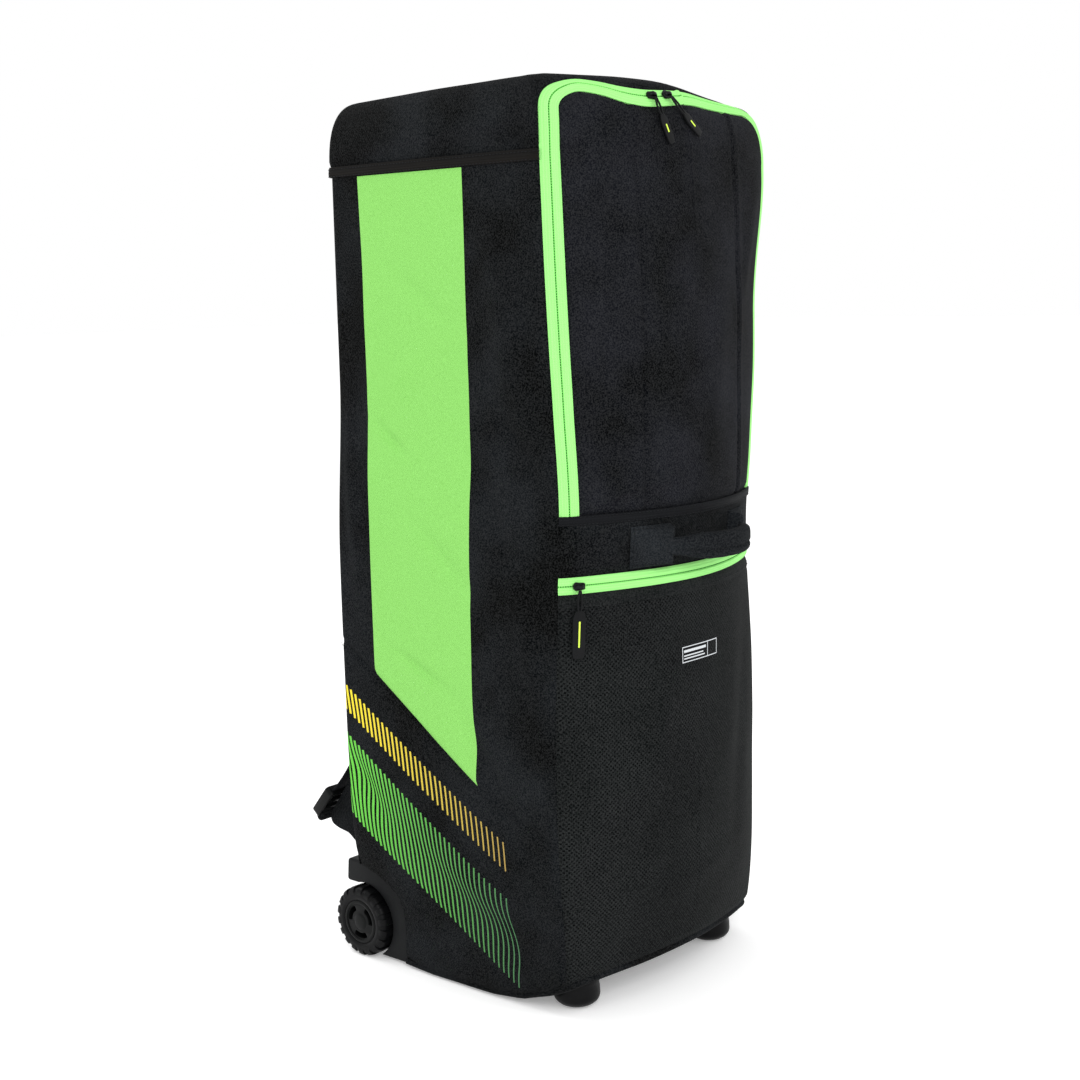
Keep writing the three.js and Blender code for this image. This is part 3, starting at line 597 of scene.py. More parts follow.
@dataclass(frozen=True)
class PrintedPolyester(WovenPolyester):
    """The side cloth, with a pale green field and slanted hatching printed on it."""

    green: str = "86C864"
    # Left and right edge of the green field: height and depth along the side.
    field_back: tuple = (
        (0.321, 0.099), (0.45, 0.101), (0.55, 0.104), (0.65, 0.106), (0.75, 0.107), (0.823, 0.109)
    )
    field_front: tuple = (
        (0.226, -0.038), (0.35, -0.036), (0.5, -0.035), (0.6, -0.036), (0.72, -0.036), (0.825, -0.035)
    )
    field_top: float = 0.8225
    field_slant_back: tuple = (0.099, 0.321)
    field_slant_front: tuple = (-0.038, 0.226)
    hatch_slope: float = 0.69
    hatch_back: float = 0.152
    hatch_front: float = -0.076
    hatch_pitch: float = 0.0058
    hatch_wave: float = 0.09
    hatch_lean: tuple[float, float] = (0.02, 0.17)
    hatches: tuple = (
        HatchBand(0.2250, 0.1950, "F0DC3C", "A58B50", 0.55, 0.24, 0.0005),
        HatchBand(0.1665, 0.0700, "6CC94C", "4A7450", 0.6, 0.22, 0.0026),
    )

    def edge(self, tree: Tree, height: Socket, rows: tuple) -> Socket:
        """Depth of a field's edge at a height, read from a curve.

        Args:
            tree: The material's tree.
            height: Height on the side.
            rows: Heights and depths of the edge.

        Returns:
            The depth there.
        """
        low, high = rows[0][0], rows[-1][0]
        near = min(row[1] for row in rows) - 0.001
        far = max(row[1] for row in rows) + 0.001
        share = add(tree, "ShaderNodeMapRange", {0: height, 1: low, 2: high, 3: 0.0, 4: 1.0}).outputs[0]
        curve = add(tree, "ShaderNodeFloatCurve", {1: share})
        points = curve.mapping.curves[0].points
        while len(points) < len(rows):
            points.new(0.5, 0.5)
        for point, row in zip(points, rows):
            point.location = ((row[0] - low) / (high - low), (row[1] - near) / (far - near))
        curve.mapping.update()
        return add(tree, "ShaderNodeMapRange", {0: curve.outputs[0], 3: near, 4: far}).outputs[0]

    def ink(self, tree: Tree, uv: Socket, cloth: Socket) -> Socket:
        """Colour of the printed cloth.

        Args:
            tree: The material's tree.
            uv: Depth and height on the side, in metres.
            cloth: Colour of the bare cloth.

        Returns:
            The colour socket.
        """
        split = add(tree, "ShaderNodeSeparateXYZ", {0: uv})
        depth, height = split.outputs[0], split.outputs[1]
        slope = (self.field_slant_back[1] - self.field_slant_front[1]) / (
            self.field_slant_back[0] - self.field_slant_front[0]
        )
        start = self.field_slant_front[1] - slope * self.field_slant_front[0]
        line = add(
            tree, "ShaderNodeMath", {0: depth, 1: slope, 2: start}, operation="MULTIPLY_ADD"
        ).outputs[0]
        tests = [
            ("LESS_THAN", depth, self.edge(tree, height, self.field_back)),
            ("GREATER_THAN", depth, self.edge(tree, height, self.field_front)),
            ("GREATER_THAN", height, line),
            ("LESS_THAN", height, self.field_top),
        ]
        colour = self.cover(tree, tests, cloth, linear(self.green))
        for band in self.hatches:
            colour = self.hatch(tree, depth, height, colour, band)
        return colour

    @staticmethod
    def cover(tree: Tree, tests: list, under: Socket, over: Socket | tuple) -> Socket:
        """Lays a colour over another where all the tests hold.

        Args:
            tree: The material's tree.
            tests: Comparisons, as an operation and its two values.
            under: Colour below.
            over: Colour on top, a value or a socket.

        Returns:
            The colour socket.
        """
        mask = 1.0
        for operation, first, second in tests:
            test = add(tree, "ShaderNodeMath", {0: first, 1: second}, operation=operation).outputs[0]
            mask = add(tree, "ShaderNodeMath", {0: test, 1: mask}, operation="MULTIPLY").outputs[0]
        return add(tree, "ShaderNodeMix", {0: mask, 6: under, 7: over}, data_type="RGBA").outputs[2]

    def hatch(self, tree: Tree, depth: Socket, height: Socket, under: Socket, band: HatchBand) -> Socket:
        """Prints one slanted band of lines, each cut square at its ends.

        Args:
            tree: The material's tree.
            depth: Depth along the side.
            height: Height on the side.
            under: Colour below the print.
            band: The band's sizes and colours.

        Returns:
            The colour socket.
        """
        slant = add(
            tree, "ShaderNodeMath", {0: depth, 1: -self.hatch_slope, 2: height}, operation="MULTIPLY_ADD"
        ).outputs[0]
        span_ends = {0: depth, 1: self.hatch_front, 2: self.hatch_back}
        lean = add(
            tree, "ShaderNodeMapRange", {**span_ends, 3: -self.hatch_lean[0], 4: -self.hatch_lean[1]}
        ).outputs[0]
        sway = add(tree, "ShaderNodeMapRange", {**span_ends, 3: band.sway, 4: 0.25 * band.sway}).outputs[0]
        turn = add(
            tree, "ShaderNodeMath", {0: slant, 1: 2 * math.pi / self.hatch_wave}, operation="MULTIPLY"
        ).outputs[0]
        sine = add(tree, "ShaderNodeMath", {0: turn}, operation="SINE").outputs[0]
        leaned = add(
            tree, "ShaderNodeMath", {0: slant, 1: lean, 2: depth}, operation="MULTIPLY_ADD"
        ).outputs[0]
        swayed = add(
            tree, "ShaderNodeMath", {0: sine, 1: sway, 2: leaned}, operation="MULTIPLY_ADD"
        ).outputs[0]
        count = add(
            tree, "ShaderNodeMath", {0: swayed, 1: 1 / self.hatch_pitch}, operation="MULTIPLY"
        ).outputs[0]
        number = add(tree, "ShaderNodeMath", {0: count}, operation="FLOOR").outputs[0]
        share = add(tree, "ShaderNodeMath", {0: count, 1: number}, operation="SUBTRACT").outputs[0]
        middle = add(
            tree,
            "ShaderNodeMath",
            {0: number, 1: self.hatch_pitch, 2: self.hatch_pitch / 2},
            operation="MULTIPLY_ADD",
        ).outputs[0]
        ends = [
            add(
                tree,
                "ShaderNodeMath",
                {0: middle, 1: self.hatch_slope, 2: level},
                operation="MULTIPLY_ADD",
            ).outputs[0]
            for level in (band.bottom, band.top)
        ]
        width = add(
            tree,
            "ShaderNodeMapRange",
            {**span_ends, 3: band.front_width, 4: band.back_width},
        ).outputs[0]
        forward = add(tree, "ShaderNodeMapRange", span_ends).outputs[0]
        ink = add(
            tree,
            "ShaderNodeMix",
            {0: forward, 6: linear(band.front_colour), 7: linear(band.back_colour)},
            data_type="RGBA",
        ).outputs[2]
        tests = [
            ("LESS_THAN", share, width),
            ("GREATER_THAN", height, ends[0]),
            ("LESS_THAN", height, ends[1]),
            ("GREATER_THAN", middle, self.hatch_front),
            ("LESS_THAN", middle, self.hatch_back),
        ]
        return self.cover(tree, tests, under, ink)


@dataclass(frozen=True)
class SpacerMesh(WovenPolyester):
    """Warp knitted spacer mesh: slanted rows of small holes, darker than the yarn with painted shade."""

    # Colour of the holes: painted shade inside them.
    hole: str = "08090A"
    # Real holes are 1.5 mm apart; they are drawn 2.2 mm apart so that they show.
    pitch: float = 0.0022
    hem: float = 0.4105
    label_low: tuple = (-0.030, 0.341)
    label_high: tuple = (0.030, 0.357)
    label_line: float = 0.0009
    label_ink: str = "C9CCCF"

    def height(self, tree: Tree, uv: Socket) -> Socket:
        """Height of the yarn round its holes."""
        across, upward = waves(tree, uv, ((0, 2 * self.pitch), (1, 2 * self.pitch)))
        lattice = add(tree, "ShaderNodeMath", {0: across, 1: upward}, operation="MULTIPLY").outputs[0]
        level = add(tree, "ShaderNodeSeparateXYZ", {0: uv}).outputs[1]
        below_hem = add(tree, "ShaderNodeMath", {0: level, 1: self.hem}, operation="LESS_THAN").outputs[0]
        return add(tree, "ShaderNodeMath", {0: lattice, 1: below_hem}, operation="MULTIPLY").outputs[0]

    def ink(self, tree: Tree, uv: Socket, cloth: Socket) -> Socket:
        """Colour of the mesh, the painted shade in its holes and the plain outlined label.

        Args:
            tree: The material's tree.
            uv: Place across and height on the pocket, in metres.
            cloth: Colour of the yarn.

        Returns:
            The colour socket.
        """
        # Painted shade: the colour darkens where the yarn's height falls into a hole of the lattice.
        hole = add(
            tree, "ShaderNodeMapRange", {0: self.height(tree, uv), 1: 0.0, 2: 0.4, 3: 0.0, 4: 0.95}
        ).outputs[0]
        colour = add(
            tree, "ShaderNodeMix", {0: hole, 6: cloth, 7: linear(self.hole)}, data_type="RGBA"
        ).outputs[2]
        split = add(tree, "ShaderNodeSeparateXYZ", {0: uv})
        across, height = split.outputs[0], split.outputs[1]
        left, low = self.label_low
        right, top = self.label_high
        rule = self.label_line
        split_at = right - 0.3 * (right - left)
        bars = [
            (left, low, left + rule, top),
            (right - rule, low, right, top),
            (left, low, right, low + rule),
            (left, top - rule, right, top),
            (split_at, low, split_at + rule, top),
            (left + 3 * rule, low + 0.62 * (top - low), split_at - 3 * rule, low + 0.78 * (top - low)),
            (left + 3 * rule, low + 0.38 * (top - low), split_at - 8 * rule, low + 0.46 * (top - low)),
            (left + 3 * rule, low + 0.2 * (top - low), split_at - 5 * rule, low + 0.28 * (top - low)),
        ]
        for x0, z0, x1, z1 in bars:
            tests = [
                ("GREATER_THAN", across, x0),
                ("LESS_THAN", across, x1),
                ("GREATER_THAN", height, z0),
                ("LESS_THAN", height, z1),
            ]
            colour = PrintedPolyester.cover(tree, tests, colour, linear(self.label_ink))
        return colour


@dataclass(frozen=True)
class WovenTape:
    """Woven polyester tape or webbing: tight ribs across its length with painted shade between them, and a
    slight sheen.
    """

    name: str
    colour: str
    shade: str
    rib: float = 0.0016
    roughness: float = 0.7
    sheen: float = 0.01
    streak: float = 0.25

    def make(self) -> Material:
        """Builds the material.

        Returns:
            The new material.
        """
        material, tree = blank_material(self.name)
        uv = add(tree, "ShaderNodeUVMap", uv_map=CLOTH_UV).outputs[0]
        rib, cross = waves(tree, uv, ((1, self.rib), (0, self.rib * 1.7)))
        ribs = add(tree, "ShaderNodeMath", {0: rib, 1: 0.6, 2: cross}, operation="MULTIPLY_ADD")
        stretched = add(tree, "ShaderNodeMapping", {0: uv, 3: (260.0, 9.0, 1.0)}).outputs[0]
        streaks = add(tree, "ShaderNodeTexNoise", {"Vector": stretched, "Scale": 1.0, "Detail": 3.0})
        share = add(
            tree, "ShaderNodeMapRange", {0: streaks.outputs[0], 1: 0.35, 2: 0.7, 3: 0.0, 4: self.streak}
        ).outputs[0]
        colour = add(
            tree,
            "ShaderNodeMix",
            {0: share, 6: linear(self.colour), 7: linear(self.shade)},
            data_type="RGBA",
        ).outputs[2]
        # Painted shade: the colour is darker in the grooves between the ribs and lighter on their crowns.
        grade = add(tree, "ShaderNodeMapRange", {0: ribs.outputs[0], 1: -1.2, 2: 1.2, 3: 0.9, 4: 1.05})
        rib_shaded_colour = add(
            tree, "ShaderNodeVectorMath", {0: colour, "Scale": grade.outputs[0]}, operation="SCALE"
        ).outputs[0]
        bump = add(tree, "ShaderNodeBump", {"Strength": 0.5, "Distance": 0.0003, "Height": ribs.outputs[0]})
        shader = add(
            tree,
            "ShaderNodeBsdfPrincipled",
            {
                "Base Color": rib_shaded_colour,
                "Roughness": self.roughness,
                "Sheen Weight": self.sheen,
                "Specular IOR Level": 0.05,
                "Normal": bump.outputs[0],
            },
        )
        add(tree, "ShaderNodeOutputMaterial", {0: shader.outputs[0]})
        return material


@dataclass(frozen=True)
class Moulded:
    """A moulded or cast part: even colour with fine grain, and dust that dulls it in patches."""

    name: str
    colour: str
    worn: str
    roughness: float
    metallic: float = 0.0
    ior: float = 1.5
    # Spark eroded grain is 0.1 mm; it is drawn at about 1 mm so that it shows.
    grain_scale: float = 900.0
    grain: float = 0.00012
    coat: float = 0.0
    gloss: float = 0.1

    def make(self) -> Material:
        """Builds the material.

        Returns:
            The new material.
        """
        material, tree = blank_material(self.name)
        place = add(tree, "ShaderNodeTexCoord").outputs["Object"]
        dust = add(tree, "ShaderNodeTexNoise", {"Vector": place, "Scale": 35.0, "Detail": 5.0})
        share = add(
            tree, "ShaderNodeMapRange", {0: dust.outputs[0], 1: 0.4, 2: 0.75, 3: 0.0, 4: 0.7}
        ).outputs[0]
        colour = add(
            tree,
            "ShaderNodeMix",
            {0: share, 6: linear(self.colour), 7: linear(self.worn)},
            data_type="RGBA",
        ).outputs[2]
        grain = add(
            tree, "ShaderNodeTexNoise", {"Vector": place, "Scale": self.grain_scale, "Detail": 2.0}
        ).outputs[0]
        bump = add(tree, "ShaderNodeBump", {"Strength": 0.5, "Distance": self.grain, "Height": grain})
        rough = add(
            tree,
            "ShaderNodeMapRange",
            {0: dust.outputs[0], 3: max(self.roughness - 0.1, 0.05), 4: min(self.roughness + 0.12, 1.0)},
        ).outputs[0]
        shader = add(
            tree,
            "ShaderNodeBsdfPrincipled",
            {
                "Base Color": colour,
                "Roughness": rough,
                "Metallic": self.metallic,
                "IOR": self.ior,
                "Specular IOR Level": self.gloss,
                "Coat Weight": self.coat,
                "Normal": bump.outputs[0],
            },
        )
        add(tree, "ShaderNodeOutputMaterial", {0: shader.outputs[0]})
        return material


@dataclass
class Wardrobe:
    """Every material of the bag, made once."""

    side: Material = field(init=False)
    cloth: Material = field(init=False)
    flap: Material = field(init=False)
    handle: Material = field(init=False)
    pocket: Material = field(init=False)
    tape: Material = field(init=False)
    coil: Material = field(init=False)
    webbing: Material = field(init=False)
    binding: Material = field(init=False)
    thread: Material = field(init=False)
    abs_plastic: Material = field(init=False)
    nylon: Material = field(init=False)
    rubber: Material = field(init=False)
    zinc: Material = field(init=False)
    silicone: Material = field(init=False)
    stripe: Material = field(init=False)

    def __post_init__(self) -> None:
        """Makes the materials."""
        self.side = PrintedPolyester("printed_oxford_polyester").make()
        self.cloth = WovenPolyester("oxford_polyester").make()
        # The second colour of each woven cloth is the lighter colour of its painted sheen patches.
        self.flap = WovenPolyester("flap_oxford_polyester", colour="0E0F10", painted_sheen="1B1C20").make()
        self.handle = WovenPolyester("handle_oxford_polyester", colour="16181A", painted_sheen="24272A").make()
        self.pocket = SpacerMesh(
            "polyester_spacer_mesh", colour="171919", painted_sheen="1F2121", roughness=0.78
        ).make()
        self.tape = WovenTape("green_zip_tape", "9EEB86", "7FD566").make()
        self.coil = WovenTape("green_zip_coil", "2E7A2C", "1F5A22", roughness=0.5).make()
        self.webbing = WovenTape("black_polypropylene_webbing", "111214", "1A1B1E", streak=0.5).make()
        self.binding = WovenTape("black_grosgrain_binding", "121110", "1D1A17", rib=0.0013, streak=0.6).make()
        self.thread = Moulded("black_polyester_thread", "151618", "1E2023", 0.6, grain_scale=2500.0).make()
        self.abs_plastic = Moulded("grained_abs_plastic", "121314", "1B1C1D", 0.55, grain=0.0002).make()
        self.nylon = Moulded("moulded_nylon", "090A0A", "121313", 0.4).make()
        self.rubber = Moulded("moulded_rubber", "060607", "0E0F10", 0.42, ior=1.52, grain=0.0002).make()
        self.zinc = Moulded("painted_zinc_alloy", "17181A", "2C2D2F", 0.3, metallic=0.6, grain=0.00003).make()
        self.silicone = Moulded("soft_moulded_pvc", "0D0E0F", "161718", 0.5).make()
        self.stripe = Moulded("printed_yellow_ink", "D8F25A", "B9DB49", 0.6).make()


# The bag's form


@dataclass
class Ripple:
    """Soft random unevenness of cloth, the same on each run."""

    seed: int
    cell: float
    size: int = 64
    values: Array = field(init=False)

    def __post_init__(self) -> None:
        """Draws the lattice of heights."""
        self.values = np.random.default_rng(self.seed).uniform(-1, 1, (self.size, self.size))

    def at(self, across: Array, up: Array) -> Array:
        """Reads the unevenness.

        Args:
            across: Places across, in metres.
            up: Places up, in metres.

        Returns:
            Heights from -1 to 1.
        """
        u, v = across / self.cell, up / self.cell
        i, j = np.floor(u).astype(int), np.floor(v).astype(int)
        s, t = smooth_step(u - i), smooth_step(v - j)
        n = self.size
        grid = self.values
        low = grid[i % n, j % n] * (1 - s) + grid[(i + 1) % n, j % n] * s
        high = grid[i % n, (j + 1) % n] * (1 - s) + grid[(i + 1) % n, (j + 1) % n] * s
        return low * (1 - t) + high * t


@dataclass(frozen=True)
class Fold:
    """A soft fold of a wall: its middle, its direction in degrees, half its size, and its height."""

    across: float
    up: float
    turn: float
    length: float
    width: float
    height: float

    def at(self, across: Array, up: Array) -> Array:
        """Height of the fold at places on its wall."""
        angle = math.radians(self.turn)
        x, y = across - self.across, up - self.up
        run = x * math.cos(angle) + y * math.sin(angle)
        off = y * math.cos(angle) - x * math.sin(angle)
        return self.height * np.exp(-((run / self.length) ** 2) - (off / self.width) ** 2)


@dataclass
class BagForm:
    """The bag's outer surface. A station runs round it, 0 at the front middle, 1 and 2 at the right corners
    and 3 at the back middle, negative on the left. A climb is the height on the walls, and goes on over the
    cap and under the base."""

    half_width: float = 0.170
    front_depth: float = 0.138
    back_depth: float = 0.151
    crown: float = 0.050
    back_crown: float = 0.003
    side_puff: float = 0.003
    corner: float = 0.014
    back_corner: float = 0.005
    cap_seam: float = 0.829
    cap_rise_back: float = 0.067
    cap_rise_front: float = 0.075
    top_crown: float = 0.004
    cap_inset: float = 0.026
    cap_front_inset: float = 0.046
    cap_climb: float = 0.090
    cap_square: float = 2.7
    base_lift: float = 0.044
    tuck_rise: float = 0.006
    tuck_inset: float = 0.008
    tuck_climb: float = 0.022
    flap_bottom: float = 0.497
    zip_top: float = 0.903
    zip_corner: float = 0.048
    zip_width: float = 0.0205
    # How far the zip sags below the cap's edge, by station.
    zip_sag: tuple = (
        (-1.0, -0.9, -0.74, -0.6, -0.48, -0.3, -0.17, 0.1, 0.3, 0.55, 0.8, 1.0),
        (0.009, 0.011, 0.009, 0.013, 0.019, 0.022, 0.020, 0.012, 0.009, 0.004, 0.0, 0.0),
    )
    # Height of the slanted side seam, by station.
    slant_line: tuple = ((1.0, 1.346, 1.82, 2.0), (0.180, 0.226, 0.321, 0.352))
    sections: dict = field(
        default_factory=lambda: {
            "height": (0.0, 0.05, 0.13, 0.25, 0.38, 0.51, 0.6, 0.72, 0.85, 1.0),
            "width": (0.93, 0.94, 0.97, 1.0, 1.008, 1.012, 1.008, 1.0, 1.0, 1.0),
            "front_width": (0.91, 0.93, 0.96, 0.98, 0.97, 0.93, 0.92, 0.97, 1.0, 1.0),
            "front": (0.93, 0.96, 1.0, 1.0, 1.0, 1.0, 1.0, 0.985, 0.97, 0.94),
            "crown": (0.55, 0.66, 0.84, 0.92, 0.92, 0.9, 0.98, 1.02, 1.04, 0.94),
        }
    )
    base_sections: tuple = (
        (-1.3, -1.0, -0.8, -0.53, -0.25, 0.35, 0.6, 1.1),
        (1.0, 0.72, 0.42, 0.12, 0.04, 0.04, 0.08, 0.3),
    )
    # The filled bag leans a little over its pocket, and its upper right front corner is pushed out.
    lean: float = -0.007
    lean_heights: tuple = (0.04, 0.16, 0.44, 0.62)
    push: tuple[float, float] = (0.008, -0.012)
    push_height: tuple = (0.68, 0.83)
    push_across: tuple = (0.03, 0.15)
    push_depth: tuple = (0.06, -0.08)
    droop: float = -0.012
    droop_across: tuple = (-0.03, 0.12)
    droop_height: tuple = (0.80, 0.88)
    side_folds: tuple = (
        Fold(0.069, 0.563, 36, 0.026, 0.006, -0.0042),
        Fold(0.031, 0.333, 25, 0.040, 0.006, -0.0042),
        Fold(-0.088, 0.660, 80, 0.090, 0.016, 0.0066),
        Fold(-0.070, 0.480, 65, 0.070, 0.013, -0.0066),
        Fold(-0.100, 0.400, 75, 0.080, 0.011, 0.0057),
        Fold(-0.095, 0.560, 55, 0.040, 0.009, -0.0053),
        Fold(0.125, 0.500, 85, 0.100, 0.010, 0.0042),
        Fold(-0.050, 0.250, 60, 0.050, 0.012, -0.0053),
        Fold(0.020, 0.700, 35, 0.050, 0.010, -0.0030),
        Fold(0.050, 0.630, -30, 0.035, 0.008, 0.0029),
        Fold(0.000, 0.450, 42, 0.045, 0.009, -0.0038),
        Fold(0.120, 0.200, 50, 0.040, 0.010, -0.0046),
        Fold(-0.030, 0.120, 30, 0.060, 0.016, 0.0042),
        Fold(-0.100, 0.845, 30, 0.018, 0.0045, -0.0061),
        Fold(0.060, 0.860, 20, 0.060, 0.012, 0.0038),
    )
    front_folds: tuple = (
        Fold(-0.100, 0.845, -50, 0.030, 0.007, -0.0020),
        Fold(0.030, 0.620, 80, 0.100, 0.018, 0.0024),
        Fold(-0.115, 0.600, 88, 0.120, 0.016, -0.0022),
        Fold(0.110, 0.740, 70, 0.060, 0.013, 0.0026),
        Fold(-0.060, 0.280, 75, 0.080, 0.018, 0.0026),
        Fold(0.090, 0.250, 80, 0.100, 0.018, -0.0026),
        Fold(0.000, 0.120, 10, 0.070, 0.013, 0.0022),
        Fold(-0.100, 0.150, 60, 0.050, 0.012, -0.0022),
    )
    shift: Array = field(init=False)
    table: Array = field(init=False)
    lengths: Array = field(init=False)
    heights: Array = field(init=False)

    STRETCH_STEPS = 96
    SAMPLES = 24

    def __post_init__(self) -> None:
        """Places the form on the CAD box and works out its walls."""
        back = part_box("back_panel")[1]
        seam_gap = 0.00015
        self.shift = np.array(
            [0.0, back.y - self.back_depth - self.back_crown, back.z - self.cap_seam + seam_gap]
        )
        self.heights = np.linspace(0, self.cap_seam, 240)
        rows, lengths = [], []
        for height in self.heights:
            stretches = self.outline(height / self.cap_seam)
            places = []
            for points in stretches:
                run = along(points)
                share = np.linspace(0, run[-1], self.STRETCH_STEPS + 1)
                places.append(np.stack([np.interp(share, run, points[:, k]) for k in (0, 1)], -1))
            lengths.append(along(stretches[0])[-1])
            rows.append(np.concatenate([places[0], places[1][1:], places[2][1:]]))
        self.table = np.array(rows)
        self.lengths = np.array(lengths)

    def outline(self, share: float) -> list[Array]:
        """Right half of the horizontal outline, as its front, side and back stretch.

        Args:
            share: Height as a share of the cap seam's.

        Returns:
            Points of the three stretches.
        """
        keys = self.sections["height"]
        read = {
            k: float(smooth_table(keys, v, np.array(share)))
            for k, v in self.sections.items() if k != "height"
        }
        width = self.half_width * read["width"]
        front_width = self.half_width * read["front_width"]
        front = -self.front_depth * read["front"]
        crown = self.crown * read["crown"]
        back = self.back_depth
        t = np.linspace(0, 1, self.SAMPLES)[:, None]

        def curve(a: Array, b: Array, c: Array) -> Array:
            """Points of a quadratic curve."""
            return a * (1 - t) ** 2 + 2 * b * t * (1 - t) + c * t * t

        def corner(a: Array, b: Array, c: Array) -> tuple[Array, Array]:
            """Two halves of a rounded corner."""
            first, last = (a + b) / 2, (b + c) / 2
            middle = (first + last) / 2
            return curve(a, first, middle), curve(middle, last, c)

        stop = 1 - self.corner / front_width
        a = np.array([0, front - crown])
        b = np.array([front_width / 2, front - crown])
        c = np.array([front_width, front])
        crown_stop = a * (1 - stop) ** 2 + 2 * b * stop * (1 - stop) + c * stop * stop
        side_start = np.array([front_width + 0.1 * (width - front_width), front + self.corner])
        side_stop = np.array([width, back - self.back_corner])
        side_control = np.array([width + 2 * self.side_puff, front + 0.35 * (back - front)])
        back_start = np.array([width - self.back_corner, back])
        back_middle = np.array([0, back + self.back_crown])
        back_control = np.array([width / 2, back + self.back_crown])
        front_round = corner(crown_stop, c, side_start)
        back_round = corner(side_stop, np.array([width, back]), back_start)
        crown_part = curve(a, a + (b - a) * stop, crown_stop)
        return [
            np.concatenate([crown_part, front_round[0][1:]]),
            np.concatenate(
                [front_round[1], curve(side_start, side_control, side_stop)[1:], back_round[0][1:]]
            ),
            np.concatenate([back_round[1], curve(back_start, back_control, back_middle)[1:]]),
        ]

    def wall(self, station: Array, height: Array) -> Array:
        """Places on the walls, before the form is shifted.

        Args:
            station: Stations, any shape.
            height: Heights, the same shape.

        Returns:
            X and Y, in a last axis of 2.
        """
        turn = np.where(np.abs(station) > 3, station - 6 * np.sign(station), station)
        column = np.clip(np.abs(turn), 0, 3) * self.STRETCH_STEPS
        row = np.clip(height / self.cap_seam, 0, 1) * (len(self.heights) - 1)
        c = np.minimum(column.astype(int), self.table.shape[1] - 2)
        r = np.minimum(row.astype(int), self.table.shape[0] - 2)
        s, t = (column - c)[..., None], (row - r)[..., None]
        low = self.table[r, c] * (1 - s) + self.table[r, c + 1] * s
        high = self.table[r + 1, c] * (1 - s) + self.table[r + 1, c + 1] * s
        flat = low * (1 - t) + high * t
        return np.stack([np.sign(turn) * flat[..., 0], flat[..., 1]], -1)

    def base_height(self, depth: Array) -> Array:
        """Height of the base's underside at a depth."""
        share = np.where(depth < 0, depth / self.front_depth, depth / self.back_depth)
        return self.base_lift * np.interp(share, *self.base_sections)

    def foot(self, station: Array) -> Array:
        """Height where the walls end above the base."""
        edge = self.wall(station, np.full_like(station, self.base_lift))
        return self.base_height(edge[..., 1]) + self.tuck_rise

    def skin(self, station: Array, climb: Array) -> Array:
        """Points of the outer surface.

        Args:
            station: Stations, any shape.
            climb: Climbs, the same shape.

        Returns:
            Points, in a last axis of 3.
        """
        station, climb = np.broadcast_arrays(np.asarray(station, float), np.asarray(climb, float))
        foot = self.foot(station)
        height = np.clip(climb, foot, self.cap_seam)
        flat = self.wall(station, height)
        x, y = flat[..., 0], flat[..., 1]
        over = np.clip((climb - self.cap_seam) / self.cap_climb, 0, 2)
        angle = np.minimum(over, 1) * math.pi / 2
        power = 2 / self.cap_square
        inward = 1 - np.cos(angle) ** power
        upward = np.sin(angle) ** power
        depth = np.where(y < 0, self.front_depth + self.crown, self.back_depth)
        forward_share = np.clip(-y / depth, 0, 1)
        inset = self.cap_inset + (self.cap_front_inset - self.cap_inset) * forward_share
        inner = np.where(over > 1, 2 - over, 1.0)
        cap_x = x * (1 - self.cap_inset * inward / self.half_width) * inner
        cap_y = y * (1 - inset * inward / depth) * inner
        forward = np.clip((self.back_depth - cap_y) / (self.back_depth + self.front_depth), 0, 1)
        rise = self.cap_rise_back + (self.cap_rise_front - self.cap_rise_back) * forward
        cap_z = self.cap_seam + rise * upward + self.top_crown * (1 - inner**2)
        under = np.clip((foot - climb) / self.tuck_climb, 0, 2)
        angle = np.minimum(under, 1) * math.pi / 2
        inner = np.where(under > 1, 2 - under, 1.0)
        shrink = (1 - self.tuck_inset * (1 - np.cos(angle)) / self.half_width) * inner
        base_y = y * shrink
        base_z = self.base_height(base_y) + (foot - self.base_height(y)) * (1 - np.sin(angle))
        on_cap, on_base = over > 0, under > 0
        result = np.stack(
            [
                np.where(on_cap, cap_x, np.where(on_base, x * shrink, x)),
                np.where(on_cap, cap_y, np.where(on_base, base_y, y)),
                np.where(on_cap, cap_z, np.where(on_base, base_z, height)),
            ],
            -1,
        )
        return result + self.sway(result) + self.shift

    def over(self, station: float, climb: float, lift: float) -> Array:
        """A point over the surface."""
        s, c = np.array([station]), np.array([climb])
        return (self.skin(s, c) + self.outward(s, c) * lift)[0]

    def sway(self, points: Array) -> Array:
        """How far the filled bag's surface stands aside of its even form."""
        x, y, z = points[..., 0], points[..., 1], points[..., 2]
        low, full, fall, high = self.lean_heights
        lean = smooth_step((z - low) / (full - low)) * smooth_step((high - z) / (high - fall))
        push = np.ones_like(x)
        for place, (start, stop) in ((z, self.push_height), (x, self.push_across), (y, self.push_depth)):
            push = push * smooth_step((place - start) / (stop - start))
        droop = np.ones_like(x)
        for place, (start, stop) in ((x, self.droop_across), (z, self.droop_height)):
            droop = droop * smooth_step((place - start) / (stop - start))
        return np.stack([self.lean * lean + self.push[0] * push, self.push[1] * push, self.droop * droop], -1)

